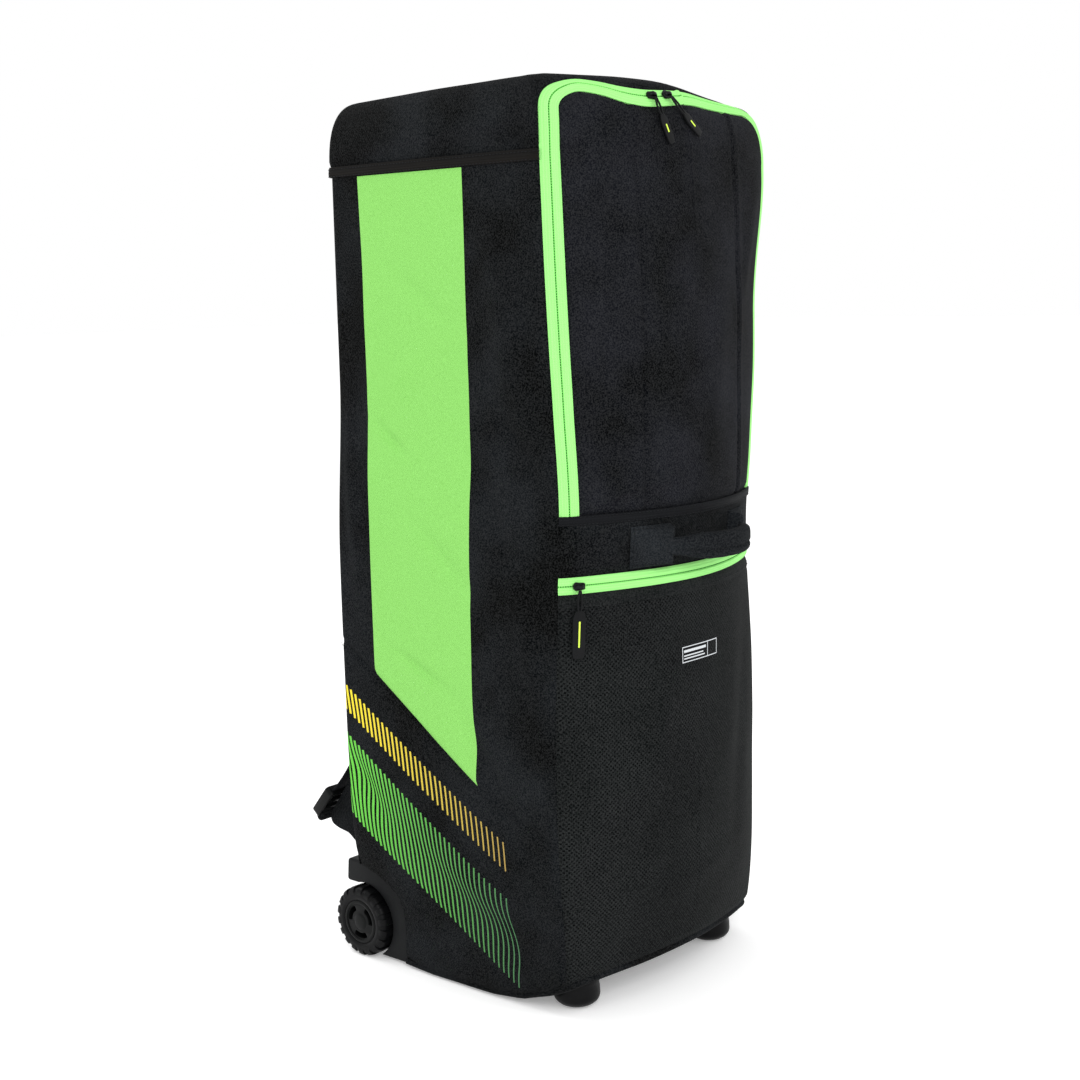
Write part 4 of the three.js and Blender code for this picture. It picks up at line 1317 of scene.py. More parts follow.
    def outward(self, station: Array, climb: Array) -> Array:
        """Directions out of the surface.

        Args:
            station: Stations, any shape.
            climb: Climbs, the same shape.

        Returns:
            Unit vectors, in a last axis of 3.
        """
        station, climb = np.broadcast_arrays(np.asarray(station, float), np.asarray(climb, float))
        step, rise = 0.012, 0.0012
        across = self.skin(station + step, climb) - self.skin(station - step, climb)
        upward = self.skin(station, climb + rise) - self.skin(station, climb - rise)
        out = unit(np.cross(across, upward))
        pole_top = climb >= self.cap_seam + 1.97 * self.cap_climb
        pole_base = climb <= self.foot(station) - 1.97 * self.tuck_climb
        out = np.where(pole_top[..., None], [0, 0, 1.0], out)
        return np.where(pole_base[..., None], [0, 0, -1.0], out)

    def front_length(self, climb: Array) -> Array:
        """Length of the outline from the front middle to a front corner."""
        return np.interp(climb, self.heights, self.lengths)

    def leg_station(self, inside: float, climb: Array) -> Array:
        """Station of a line at a distance inside the front corner."""
        return 1 - inside / self.front_length(climb)

    def arch(self, inside: float, bends: int = 14, flats: int = 70) -> Array:
        """The zip's line over the top, from the left leg's end to the right one's.

        Args:
            inside: Distance inside the tape's outer edge.
            bends: Steps of each rounded corner.
            flats: Steps between them.

        Returns:
            Stations and climbs.
        """
        length = float(self.front_length(self.cap_seam))
        radius = self.zip_corner - inside
        half = length - inside
        turns = np.linspace(0, math.pi / 2, bends + 1)
        leg_top = self.zip_top - self.zip_corner
        right = np.stack(
            [(half - radius + radius * np.cos(turns)) / length, leg_top + radius * np.sin(turns)], -1
        )
        left = right * [-1, 1]
        flat = np.linspace(-(half - radius) / length, (half - radius) / length, flats + 1)[1:-1]
        middle = np.stack([flat, np.full_like(flat, leg_top + radius)], -1)
        arch = np.concatenate([left, middle, right[::-1]])
        arch[:, 1] -= self.sag(arch[:, 0]) * (arch[:, 1] - leg_top) / radius
        return arch

    def sag(self, station: Array) -> Array:
        """How far the zip sags at a station."""
        return smooth_table(*self.zip_sag, station)

    def slant(self, station: Array) -> Array:
        """Height of the slanted side seam."""
        return np.interp(np.abs(station), *self.slant_line)

    def relief(self, station: Array, points: Array) -> Array:
        """Height of the cloth's folds and unevenness over the form.

        Args:
            station: Stations of the points.
            points: Points of the form.

        Returns:
            Heights in metres.
        """
        turn = np.where(np.abs(station) > 3, station - 6 * np.sign(station), station)
        right = np.abs(turn)
        x, y, z = points[..., 0], points[..., 1], points[..., 2]
        corner = np.minimum(np.abs(right - 1), np.abs(right - 2))
        window = smooth_step(corner / 0.07)
        on_side = (right > 1) & (right < 2)
        across = np.where(on_side, y, x)
        wall = np.sign(turn) * (1 + np.floor(right))
        wide = Ripple(7, 0.11).at(across + wall, z)
        fine = Ripple(11, 0.042).at(across + 2 * wall, z * 0.8)
        height = 0.0011 * wide + 0.0005 * fine
        across = np.where(on_side, y - self.shift[1], x)
        for folds, where in ((self.side_folds, on_side), (self.front_folds, right <= 1)):
            for fold in folds:
                height = height + np.where(where, fold.at(across, z - self.shift[2]), 0)
        return height * window

    def seam_dip(self, points: Array, edges: str, depth: float = 0.0028, width: float = 0.0038) -> Array:
        """How far a panel is drawn in along its sewn edges.

        Args:
            points: The panel's points, rows by columns.
            edges: Letters of the sewn edges: l, r, b and t.
            depth: Depth at the seam.
            width: Distance over which the cloth comes back out.

        Returns:
            Depths, rows by columns.
        """
        across = np.linalg.norm(np.diff(points, axis=1), axis=-1)
        upward = np.linalg.norm(np.diff(points, axis=0), axis=-1)
        rows, columns = points.shape[:2]
        from_left = np.concatenate([np.zeros((rows, 1)), np.cumsum(across, axis=1)], axis=1)
        from_low = np.concatenate([np.zeros((1, columns)), np.cumsum(upward, axis=0)], axis=0)
        distances = {
            "l": from_left,
            "r": from_left[:, -1:] - from_left,
            "b": from_low,
            "t": from_low[-1:] - from_low,
        }
        nearest = np.full((rows, columns), 1.0)
        for letter in edges:
            nearest = np.minimum(nearest, distances[letter])
        return -depth * np.exp(-((nearest / width) ** 2))


# Sub-assemblies


def between(low: Array, high: Array, rows: int) -> Array:
    """Rows of values from one row to another."""
    share = np.linspace(0, 1, rows)[:, None]
    return low * (1 - share) + high * share


def span(start: float, end: float, cell: float, length: float) -> Array:
    """Evenly spaced stations, a cell apart, over a stretch of a length."""
    return np.linspace(start, end, max(2, int(length / cell) + 1))


@dataclass
class Thread:
    """Rows of sewn stitches, gathered from every seam and made in one piece."""

    name: str = "seam_stitching"
    pitch: float = 0.0042
    stitch: float = 0.0030
    radius: float = 0.00042
    paths: list = field(default_factory=list)

    def run(self, points: Array, out: Array) -> None:
        """Adds a row of stitches.

        Args:
            points: Points of the seam, on the cloth.
            out: Directions out of the cloth there.
        """
        self.paths.append((points + out * self.radius * 0.6, out))

    def build(self, wardrobe: Wardrobe) -> Object:
        """Makes the stitches.

        Args:
            wardrobe: The bag's materials.

        Returns:
            The piece.
        """
        repeat = PathRepeat("stitch_row", self.pitch, (self.stitch, self.radius * 2, self.radius * 1.4))
        piece = repeat.build(self.name, self.paths, wardrobe.thread)
        return dress(piece, wardrobe.thread)


@dataclass(frozen=True)
class PathRepeat:
    """Copies of one rounded bead along paths, made by Geometry Nodes."""

    name: str
    pitch: float
    size: tuple[float, float, float]
    segments: int = 6
    rings: int = 4

    def tree(self) -> Tree:
        """Builds the node tree: paths in, beads that lie along them out.

        Returns:
            The tree.
        """
        kinds = {"Paths": "Geometry", "Pitch": "Float", "Size": "Vector", "Material": "Material"}
        tree = geometry_tree(self.name, kinds, "Beads")
        inputs = add(tree, "NodeGroupInput").outputs
        curve = add(tree, "GeometryNodeMeshToCurve", {0: inputs["Paths"]}).outputs[0]
        even = add(
            tree, "GeometryNodeResampleCurve", {"Curve": curve, "Length": inputs["Pitch"]}, mode="LENGTH"
        ).outputs[0]
        tangent = add(tree, "GeometryNodeInputTangent").outputs[0]
        out = add(tree, "GeometryNodeInputNamedAttribute", {"Name": OUT_ATTRIBUTE}, data_type="FLOAT_VECTOR")
        lengthways = add(tree, "FunctionNodeAlignRotationToVector", {"Vector": tangent}, axis="X").outputs[0]
        turned = add(
            tree,
            "FunctionNodeAlignRotationToVector",
            {"Rotation": lengthways, "Vector": out.outputs[0]},
            axis="Z",
            pivot_axis="X",
        ).outputs[0]
        ball = add(
            tree,
            "GeometryNodeMeshUVSphere",
            {"Segments": self.segments, "Rings": self.rings, "Radius": 0.5},
        ).outputs[0]
        laid = add(
            tree, "GeometryNodeTransform", {"Geometry": ball, "Rotation": (0, math.pi / 2, 0)}
        ).outputs[0]
        bead = add(tree, "GeometryNodeTransform", {"Geometry": laid, "Scale": inputs["Size"]}).outputs[0]
        copies = add(
            tree,
            "GeometryNodeInstanceOnPoints",
            {"Points": even, "Instance": bead, "Rotation": turned},
        ).outputs[0]
        real = add(tree, "GeometryNodeRealizeInstances", {0: copies}).outputs[0]
        painted = add(tree, "GeometryNodeSetMaterial", {"Geometry": real, "Material": inputs["Material"]})
        add(tree, "NodeGroupOutput", {0: painted.outputs[0]})
        return tree

    def build(self, name: str, paths: list, material: Material) -> Object:
        """Makes the beads along paths.

        Args:
            name: The piece's name.
            paths: Points and outward directions of each path.
            material: The beads' material.

        Returns:
            The piece, a plain mesh.
        """
        points = np.concatenate([p for p, _ in paths])
        out = np.concatenate([np.broadcast_to(o, p.shape) for p, o in paths])
        edges, start = [], 0
        for path, _ in paths:
            edges += [(start + i, start + i + 1) for i in range(len(path) - 1)]
            start += len(path)
        mesh = bpy.data.meshes.new(name)
        mesh.from_pydata(points.tolist(), edges, [])
        attribute = mesh.attributes.new(OUT_ATTRIBUTE, "FLOAT_VECTOR", "POINT")
        attribute.data.foreach_set("vector", out.astype(np.float32).ravel())
        piece = bpy.data.objects.new(name, mesh)
        bpy.context.scene.collection.objects.link(piece)
        values = {"Pitch": self.pitch, "Size": self.size, "Material": material}
        return run_tree(piece, self.tree(), values)


def run_tree(piece: Object, tree: Tree, values: dict) -> Object:
    """Runs a geometry tree on a piece and keeps its plain mesh.

    Args:
        piece: The object that the tree starts from.
        tree: The tree.
        values: Values of its named inputs.

    Returns:
        The piece.
    """
    modifier = piece.modifiers.new(tree.name, "NODES")
    modifier.node_group = tree
    for item in tree.interface.items_tree:
        if item.name in values and item.in_out == "INPUT":
            modifier[item.identifier] = values[item.name]
    plain_mesh(piece)
    mesh = piece.data
    mesh.polygons.foreach_set("use_smooth", [True] * len(mesh.polygons))
    return piece


@dataclass
class Shell:
    """The bag's cloth panels, sewn edge to edge."""

    form: BagForm
    thread: Thread
    wheels: dict[Side, "WheelUnit"]
    wall: float = 0.0025
    cell: float = 0.0032
    seam_aside: float = -0.0045
    flap_seams: tuple[float, float] = (-0.076, 0.079)
    # Depth and half width of the flap's seams, and how far beside them their stitches run.
    flap_groove: tuple[float, float] = (0.0024, 0.0026)
    flap_stitches: tuple[float, float] = (0.0035, 0.0062)
    pocket_top: float = 0.4235
    band_low: float = 0.4395
    band_high: float = 0.497
    hem: float = 0.411
    wheel_draw: float = 0.0035
    wheel_reach: float = 0.012

    def raised(
        self, station: Array, climb: Array, edges: str, extra: Optional[Array] = None
    ) -> tuple[Array, Array, Array]:
        """Points of a panel with its folds, its sewn edges and anything extra.

        Args:
            station: Stations, rows by columns.
            climb: Climbs, rows by columns.
            edges: Letters of the sewn edges.
            extra: Further heights, or None.

        Returns:
            Outer points, outward directions and the base points.
        """
        base = self.form.skin(station, climb)
        out = self.form.outward(station, climb)
        lift = self.form.relief(station, base) + self.form.seam_dip(base, edges)
        if extra is not None:
            lift = lift + extra
        return base + out * lift[..., None], out, base

    def panel(
        self,
        name: str,
        station: Array,
        climb: Array,
        edges: str,
        uv_axes: str,
        extra: Optional[Array] = None,
        ring: bool = False,
    ) -> Object:
        """Makes one cloth panel.

        Args:
            name: The piece's name.
            station: Stations, rows by columns.
            climb: Climbs, rows by columns.
            edges: Letters of the sewn edges.
            uv_axes: Which two axes the cloth's weave follows.
            extra: Further heights, or None.
            ring: True where the panel closes on itself.

        Returns:
            The piece.
        """
        outer, out, base = self.raised(station, climb, edges, extra)
        inner = outer - out * self.wall
        uv = base[..., ["xyz".index(letter) for letter in uv_axes]]
        if ring:
            run = along(base[0])
            rise = np.concatenate(
                [[0], np.cumsum(np.linalg.norm(np.diff(base, axis=0), axis=-1).mean(axis=1))]
            )
            uv = np.stack(np.broadcast_arrays(run[None, :], rise[:, None]), -1)
        return sheet_piece(name, outer, inner, uv, ring)

    def side(self, side: Side, wardrobe: Wardrobe) -> None:
        """Makes the upper and lower panel of one side."""
        form = self.form
        columns = side.value * span(1.0, 2.0, self.cell, 0.29)
        columns = np.sort(columns)
        slant = form.slant(columns)
        top = np.full_like(columns, form.cap_seam)
        foot = form.foot(columns)
        for part, low, high, length in (("upper", slant, top, 0.6), ("lower", foot, slant, 0.25)):
            climb = between(low, high, int(length / self.cell))
            station = np.broadcast_to(columns, climb.shape)
            name = f"side_{part}_{side.label}"
            extra = self.wheel_draw_in(side, station, climb) if part == "lower" else None
            piece = self.panel(f"{name}_cloth", station, climb, "lrbt", "yz", extra)
            if part == "lower":
                self.wheels[side].make_room(piece)
            dress(piece, wardrobe.side, [name])
        self.seam_row(columns, slant + self.seam_aside)

    def wheel_draw_in(self, side: Side, station: Array, climb: Array) -> Array:
        """How far the cloth is drawn in round the wheel's housing."""
        points = self.form.skin(station, climb) - self.form.shift
        off = np.maximum(self.wheels[side].distance(points[..., 1], points[..., 2]), 0)
        return -self.wheel_draw * np.exp(-((off / self.wheel_reach) ** 2))

    def seam_row(self, station: Array, climb: Array) -> None:
        """Adds a row of stitches on the walls."""
        outer, out, _ = self.raised(station[None], climb[None], "")
        self.thread.run(outer[0], out[0])

    def back(self, wardrobe: Wardrobe) -> None:
        """Makes the back panel."""
        form = self.form
        columns = span(2.0, 4.0, self.cell * 1.4, 0.33)
        foot = form.foot(np.where(columns > 3, columns - 6, columns))
        climb = between(foot, np.full_like(columns, form.cap_seam), 180)
        station = np.broadcast_to(columns, climb.shape)
        piece = self.panel("back_cloth", station, climb, "lrbt", "xz")
        for wheel in self.wheels.values():
            wheel.make_room(piece)
        dress(piece, wardrobe.cloth, ["back_panel"])

    def front_columns(self) -> Array:
        """Stations across the front."""
        return span(-1.0, 1.0, self.cell, 0.35)

    def front_panel(
        self, name: str, low: Callable, high: Callable, rows: int, extra: Optional[Callable] = None
    ) -> Object:
        """Makes a panel that runs across the whole front.

        Args:
            name: The piece's name.
            low: Climb of its lower edge at a station.
            high: Climb of its upper edge at a station.
            rows: Rows of points.
            extra: Further heights by station and climb, or None.

        Returns:
            The piece.
        """
        columns = self.front_columns()
        climb = between(low(columns), high(columns), rows)
        station = np.broadcast_to(columns, climb.shape)
        heights = None if extra is None else extra(station, climb)
        return self.panel(name, station, climb, "lrbt", "xz", heights)

    def base(self, wardrobe: Wardrobe) -> None:
        """Makes the bottom panel."""
        columns = span(-3.0, 3.0, 0.006, 1.25)[:-1]
        turns = np.concatenate([np.linspace(2, 1, 26)[:-1], np.linspace(1, 0, 10)])[:, None]
        foot = self.form.foot(columns)
        climb = foot - turns * self.form.tuck_climb
        station = np.broadcast_to(columns, climb.shape)
        piece = self.panel("base_cloth", station, climb, "t", "xy", ring=True)
        for wheel in self.wheels.values():
            wheel.make_room(piece)
        dress(piece, wardrobe.cloth, ["base_panel"])

    def cap(self, wardrobe: Wardrobe) -> None:
        """Makes the pillow shaped top, from its seams to its middle."""
        form = self.form
        seam = form.cap_seam
        arch = form.arch(0.0)
        leg = np.linspace(seam, arch[0, 1], 9)[:-1]
        side = span(-3.0, -1.0, self.cell * 1.3, 0.46)[:-1]
        left = np.stack([side, np.full_like(side, seam)], -1)
        up_leg = np.stack([np.full_like(leg, -1.0), leg], -1)
        edge = np.concatenate([left, up_leg, arch, up_leg[::-1] * [-1, 1], left[:0:-1] * [-1, 1]])
        reach = 14
        wide = np.concatenate([edge[-reach:, 0] - 6, edge[:, 0], edge[:reach, 0] + 6])
        kernel = np.hanning(2 * reach + 1)
        even = np.convolve(wide, kernel / kernel.sum(), mode="valid")
        pole = seam + 2 * form.cap_climb
        t = np.concatenate([np.linspace(0, 0.5, 22)[:-1], np.linspace(0.5, 1, 20)])[:, None]
        station = edge[:, 0] * (1 - smooth_step(t * 2.5)) + even * smooth_step(t * 2.5)
        climb = edge[:, 1] * (1 - t) + pole * t
        piece = self.panel("cap_cloth", station, climb, "b", "xy", ring=True)
        dress(piece, wardrobe.cloth, ["top_cap"])

    def flap_heights(self, station: Array, climb: Array) -> Array:
        """Grooves of the flap's two upright seams."""
        points = self.form.skin(station, climb)
        lift = np.zeros(station.shape)
        for place in self.flap_seams:
            off = points[..., 0] - place
            lift -= self.flap_groove[0] * np.exp(-((off / self.flap_groove[1]) ** 2))
            lift += 0.0010 * np.exp(-(((off - 0.006) / 0.005) ** 2))
        return lift

    def flap(self, wardrobe: Wardrobe) -> None:
        """Makes the crowned front flap with its upright seams."""
        form = self.form
        arch = form.arch(form.zip_width, flats=88)
        widest = arch[-1, 0]
        rows = 116
        climb = between(np.full(len(arch), form.flap_bottom), arch[:, 1], rows)
        station = arch[:, 0] / widest * form.leg_station(form.zip_width, climb)
        piece = self.panel("flap_cloth", station, climb, "lrbt", "xz", self.flap_heights(station, climb))
        dress(piece, wardrobe.flap, ["flap_panel"])
        length = float(form.front_length(form.cap_seam))
        for place in self.flap_seams:
            sag = float(form.sag(np.array([place / length]))[0])
            climbs = np.linspace(form.flap_bottom + 0.01, form.zip_top - sag - form.zip_width - 0.006, 120)
            for aside in self.flap_stitches:
                stations = np.full_like(climbs, (place + aside) / length)
                for _ in range(3):
                    x = form.skin(stations, climbs)[..., 0]
                    stations = stations + (place + aside - x) / length
                self.seam_row(stations, climbs)

    def front(self, wardrobe: Wardrobe) -> None:
        """Makes the plain band and the pocket."""

        def level(height: float) -> Callable:
            """Climb of a level edge."""
            return lambda station: np.full_like(station, height)

        band = self.front_panel("band_cloth", level(self.band_low), level(self.band_high), 18)
        dress(band, wardrobe.cloth, ["front_band"])

        def hem(station: Array, climb: Array) -> Array:
            """Groove of the seam between the pocket's hem and its mesh."""
            return -0.0008 * np.exp(-(((climb - self.hem) / 0.0016) ** 2))

        pocket = self.front_panel("pocket_mesh", self.form.foot, level(self.pocket_top), 116, hem)
        dress(pocket, wardrobe.pocket, ["pocket_panel"])
        columns = self.front_columns()[2:-2]
        self.seam_row(columns, np.full_like(columns, self.hem + 0.003))

    def build(self, wardrobe: Wardrobe) -> None:
        """Makes every panel."""
        for side in Side:
            self.side(side, wardrobe)
        self.back(wardrobe)
        self.base(wardrobe)
        self.cap(wardrobe)
        self.flap(wardrobe)
        self.front(wardrobe)
        LOG.info("cloth panels made")


@dataclass
class ZipTape:
    """One zip: two tape halves that meet over a hidden coil."""

    form: BagForm
    name: str
    replaces: str
    width: float
    wall: float = 0.0022
    groove: float = 0.0014
    coil_pitch: float = 0.0024
    coil_size: tuple[float, float, float] = (0.0017, 0.0016, 0.0012)
    middle: float = 0.5
    across: int = 17

    def lines(self, inside: Array) -> tuple[Array, Array]:
        """Stations and climbs of lines along the tape.

        Args:
            inside: Shares across the tape.

        Returns:
            Stations and climbs, rows along the tape by columns across it.
        """
        raise NotImplementedError

    def cross_section(self, share: Array) -> Array:
        """Height of the tape over the surface at shares across it."""
        off = (share - self.middle) * self.width
        fold = 0.0006 * np.exp(-((np.abs(off) - 0.0022) / 0.0016) ** 2)
        edge = -0.0015 * (np.exp(-((share / 0.09) ** 2)) + np.exp(-(((1 - share) / 0.09) ** 2)))
        return fold + edge - self.groove * np.exp(-((off / 0.0007) ** 2))

    def build(self, wardrobe: Wardrobe) -> None:
        """Makes the tape and its coil.

        Args:
            wardrobe: The bag's materials.
        """
        near = self.middle + np.array([-2.6, -1.7, -1.1, -0.5, 0.0, 0.5, 1.1, 1.7, 2.6]) * 0.001 / self.width
        share = np.unique(np.concatenate([np.linspace(0, 1, self.across), near]))
        station, climb = self.lines(share)
        base = self.form.skin(station, climb)
        out = self.form.outward(station, climb)
        lift = self.form.relief(station, base) + self.cross_section(share)[None, :]
        outer = base + out * lift[..., None]
        run = along(base[:, len(share) // 2])
        uv = np.stack(np.broadcast_arrays(share[None, :] * self.width, run[:, None]), -1)
        piece = sheet_piece(f"{self.name}_tape", outer, outer - out * self.wall, uv)
        dress(piece, wardrobe.tape, [self.replaces])
        centre = int(np.argmin(np.abs(share - self.middle)))
        path = outer[:, centre] + out[:, centre] * 0.0004
        coil = PathRepeat("zip_coil", self.coil_pitch, self.coil_size)
        teeth = coil.build(f"{self.name}_coil", [(path, out[:, centre])], wardrobe.coil)
        dress(teeth, wardrobe.coil)


@dataclass
class FlapZip(ZipTape):
    """The zip round three sides of the flap."""

    def lines(self, inside: Array) -> tuple[Array, Array]:
        """Stations and climbs of lines up a leg, over the top and down again."""
        form = self.form
        legs = np.linspace(form.flap_bottom, form.zip_top - form.zip_corner, 92)[:-1]
        stations, climbs = [], []
        for share in inside:
            d = float(share) * form.zip_width
            leg = form.leg_station(d, legs)
            arch = form.arch(d, bends=14, flats=80)
            stations.append(np.concatenate([-leg, arch[:, 0], leg[::-1]]))
            climbs.append(np.concatenate([legs, arch[:, 1], legs[::-1]]))
        return np.stack(stations, -1), np.stack(climbs, -1)


@dataclass
class PocketZip(ZipTape):
    """The zip across the top of the pocket."""

    low: float = 0.4235
    high: float = 0.4395

    def lines(self, inside: Array) -> tuple[Array, Array]:
        """Stations and climbs of level lines across the front."""
        climb, station = np.meshgrid(
            self.low + (self.high - self.low) * inside, span(1.0, -1.0, 0.0032, 0.35)
        )
        return station, climb


@dataclass
class SewnTape:
    """Grosgrain sewn flat over a seam, with a row of stitches by each edge."""

    form: BagForm
    thread: Thread
    name: str
    replaces: str
    low: float
    high: float
    stations: Array
    lift: float = 0.0016

    def build(self, material: Material) -> None:
        """Makes the tape and its stitches.

        Args:
            material: The tape's material.
        """
        share = np.linspace(0, 1, 9)
        climb, station = np.meshgrid(self.low + (self.high - self.low) * share, self.stations, indexing="ij")
        base = self.form.skin(station, climb)
        out = self.form.outward(station, climb)
        bow = 0.35 + 0.65 * np.sqrt(np.clip(1 - (2 * share - 1) ** 4, 0, 1))
        dents = 0.0003 * (np.exp(-(((share - 0.16) / 0.06) ** 2)) + np.exp(-(((share - 0.84) / 0.06) ** 2)))
        height = self.form.relief(station, base) + (self.lift * bow - dents)[:, None]
        outer = base + out * height[..., None]
        inner = base - out * 0.0002
        run = along(base[4])
        uv = np.stack(np.broadcast_arrays(share[:, None] * (self.high - self.low), run[None, :]), -1)
        piece = sheet_piece(self.name, outer, inner, uv)
        dress(piece, material, [self.replaces])
        for row in (1, 7):
            self.thread.run(outer[row], out[row])


@dataclass(frozen=True)
class Padding:
    """Foam under a cover: the cover is swollen by Blender's cloth solver."""

    voxel: float = 0.004
    pressure: float = 4.0
    reach: float = 0.0025
    frames: int = 20

    def swell(self, piece: Object) -> Object:
        """Swells a closed piece a little, and leaves it smooth.

        Args:
            piece: A closed mesh, slightly smaller than the finished pad.

        Returns:
            The piece.
        """
        remesh = piece.modifiers.new("remesh", "REMESH")
        remesh.mode = "VOXEL"
        remesh.voxel_size = self.voxel
        plain_mesh(piece)
        self.simulate(piece)
        smooth = piece.modifiers.new("smooth", "SUBSURF")
        smooth.levels = smooth.render_levels = 1
        plain_mesh(piece)
        piece.data.polygons.foreach_set("use_smooth", [True] * len(piece.data.polygons))
        return piece

    def simulate(self, piece: Object) -> None:
        """Runs the cloth solver and caps how far each point moves."""
        start = mesh_points(piece)
        cloth = piece.modifiers.new("cloth", "CLOTH")
        cloth.settings.quality = 6
        cloth.settings.mass = 0.25
        cloth.settings.tension_stiffness = 25
        cloth.settings.bending_stiffness = 2
        cloth.settings.use_pressure = True
        cloth.settings.uniform_pressure_force = self.pressure
        cloth.settings.effector_weights.gravity = 0
        cloth.point_cache.frame_start = 1
        cloth.point_cache.frame_end = self.frames
        scene = bpy.context.scene
        for number in range(1, self.frames + 1):
            scene.frame_set(number)
        plain_mesh(piece)
        scene.frame_set(1)
        moved = mesh_points(piece) - start
        far = np.linalg.norm(moved, axis=1, keepdims=True)
        moved *= np.minimum(1, self.reach / np.maximum(far, 1e-9))
        piece.data.vertices.foreach_set("co", (start + moved).astype(np.float32).ravel())
        piece.data.update()


def mesh_points(piece: Object) -> Array:
    """Points of a piece's mesh."""
    points = np.empty(len(piece.data.vertices) * 3, np.float32)
    piece.data.vertices.foreach_get("co", points)
    return points.reshape(-1, 3).astype(float)


def press(piece: Object, path: Array, out: Array, reach: float, depth: float, width: float) -> None:
    """Presses a seam into a padded piece along a path.

    Args:
        piece: The padded piece.
        path: Points of the seam, on the surface.
        out: Directions out of the surface there.
        reach: Points further than this from the path stay.
        depth: Depth of the seam.
        width: Half its width.
    """
    points = mesh_points(piece)
    moved = points.copy()
    for start in range(0, len(points), 4000):
        part = points[start : start + 4000]
        offset = part[:, None] - path[None]
        near = np.argmin(np.sum(offset**2, axis=2), axis=1)
        direction = out[near]
        away = offset[np.arange(len(part)), near]
        height = np.sum(away * direction, axis=1)
        aside = np.linalg.norm(away - direction * height[:, None], axis=1)
        amount = depth * np.exp(-((aside / width) ** 2)) * (np.abs(height) < reach)
        moved[start : start + 4000] = part - direction * amount[:, None]
    piece.data.vertices.foreach_set("co", moved.astype(np.float32).ravel())
    piece.data.update()


def filleted(
    points: Sequence[tuple[float, float]], radius: float, steps: int = 4
) -> list[tuple[float, float]]:
    """Rounds every corner of an outline.

    Args:
        points: Corners of a closed outline.
        radius: How far from a corner the rounding starts.
        steps: Steps of each corner.

    Returns:
        Points of the rounded outline.
    """
    result = []
    count = len(points)
    for i, point in enumerate(points):
        corner = np.array(point, float)
        ends = []
        for other in (points[i - 1], points[(i + 1) % count]):
            way = np.array(other, float) - corner
            length = np.linalg.norm(way)
            ends.append(corner + way / length * min(radius, 0.45 * length))
        for t in np.linspace(0, 1, steps + 1):
            place = ends[0] * (1 - t) ** 2 + corner * 2 * t * (1 - t) + ends[1] * t * t
            result.append((float(place[0]), float(place[1])))
    return result


def circle(radius: float, steps: int, middle: tuple[float, float] = (0.0, 0.0)) -> list[tuple[float, float]]:
    """Points of a circle."""
    turns = np.arange(steps) * 2 * math.pi / steps
    return [(middle[0] + radius * math.cos(t), middle[1] + radius * math.sin(t)) for t in turns]


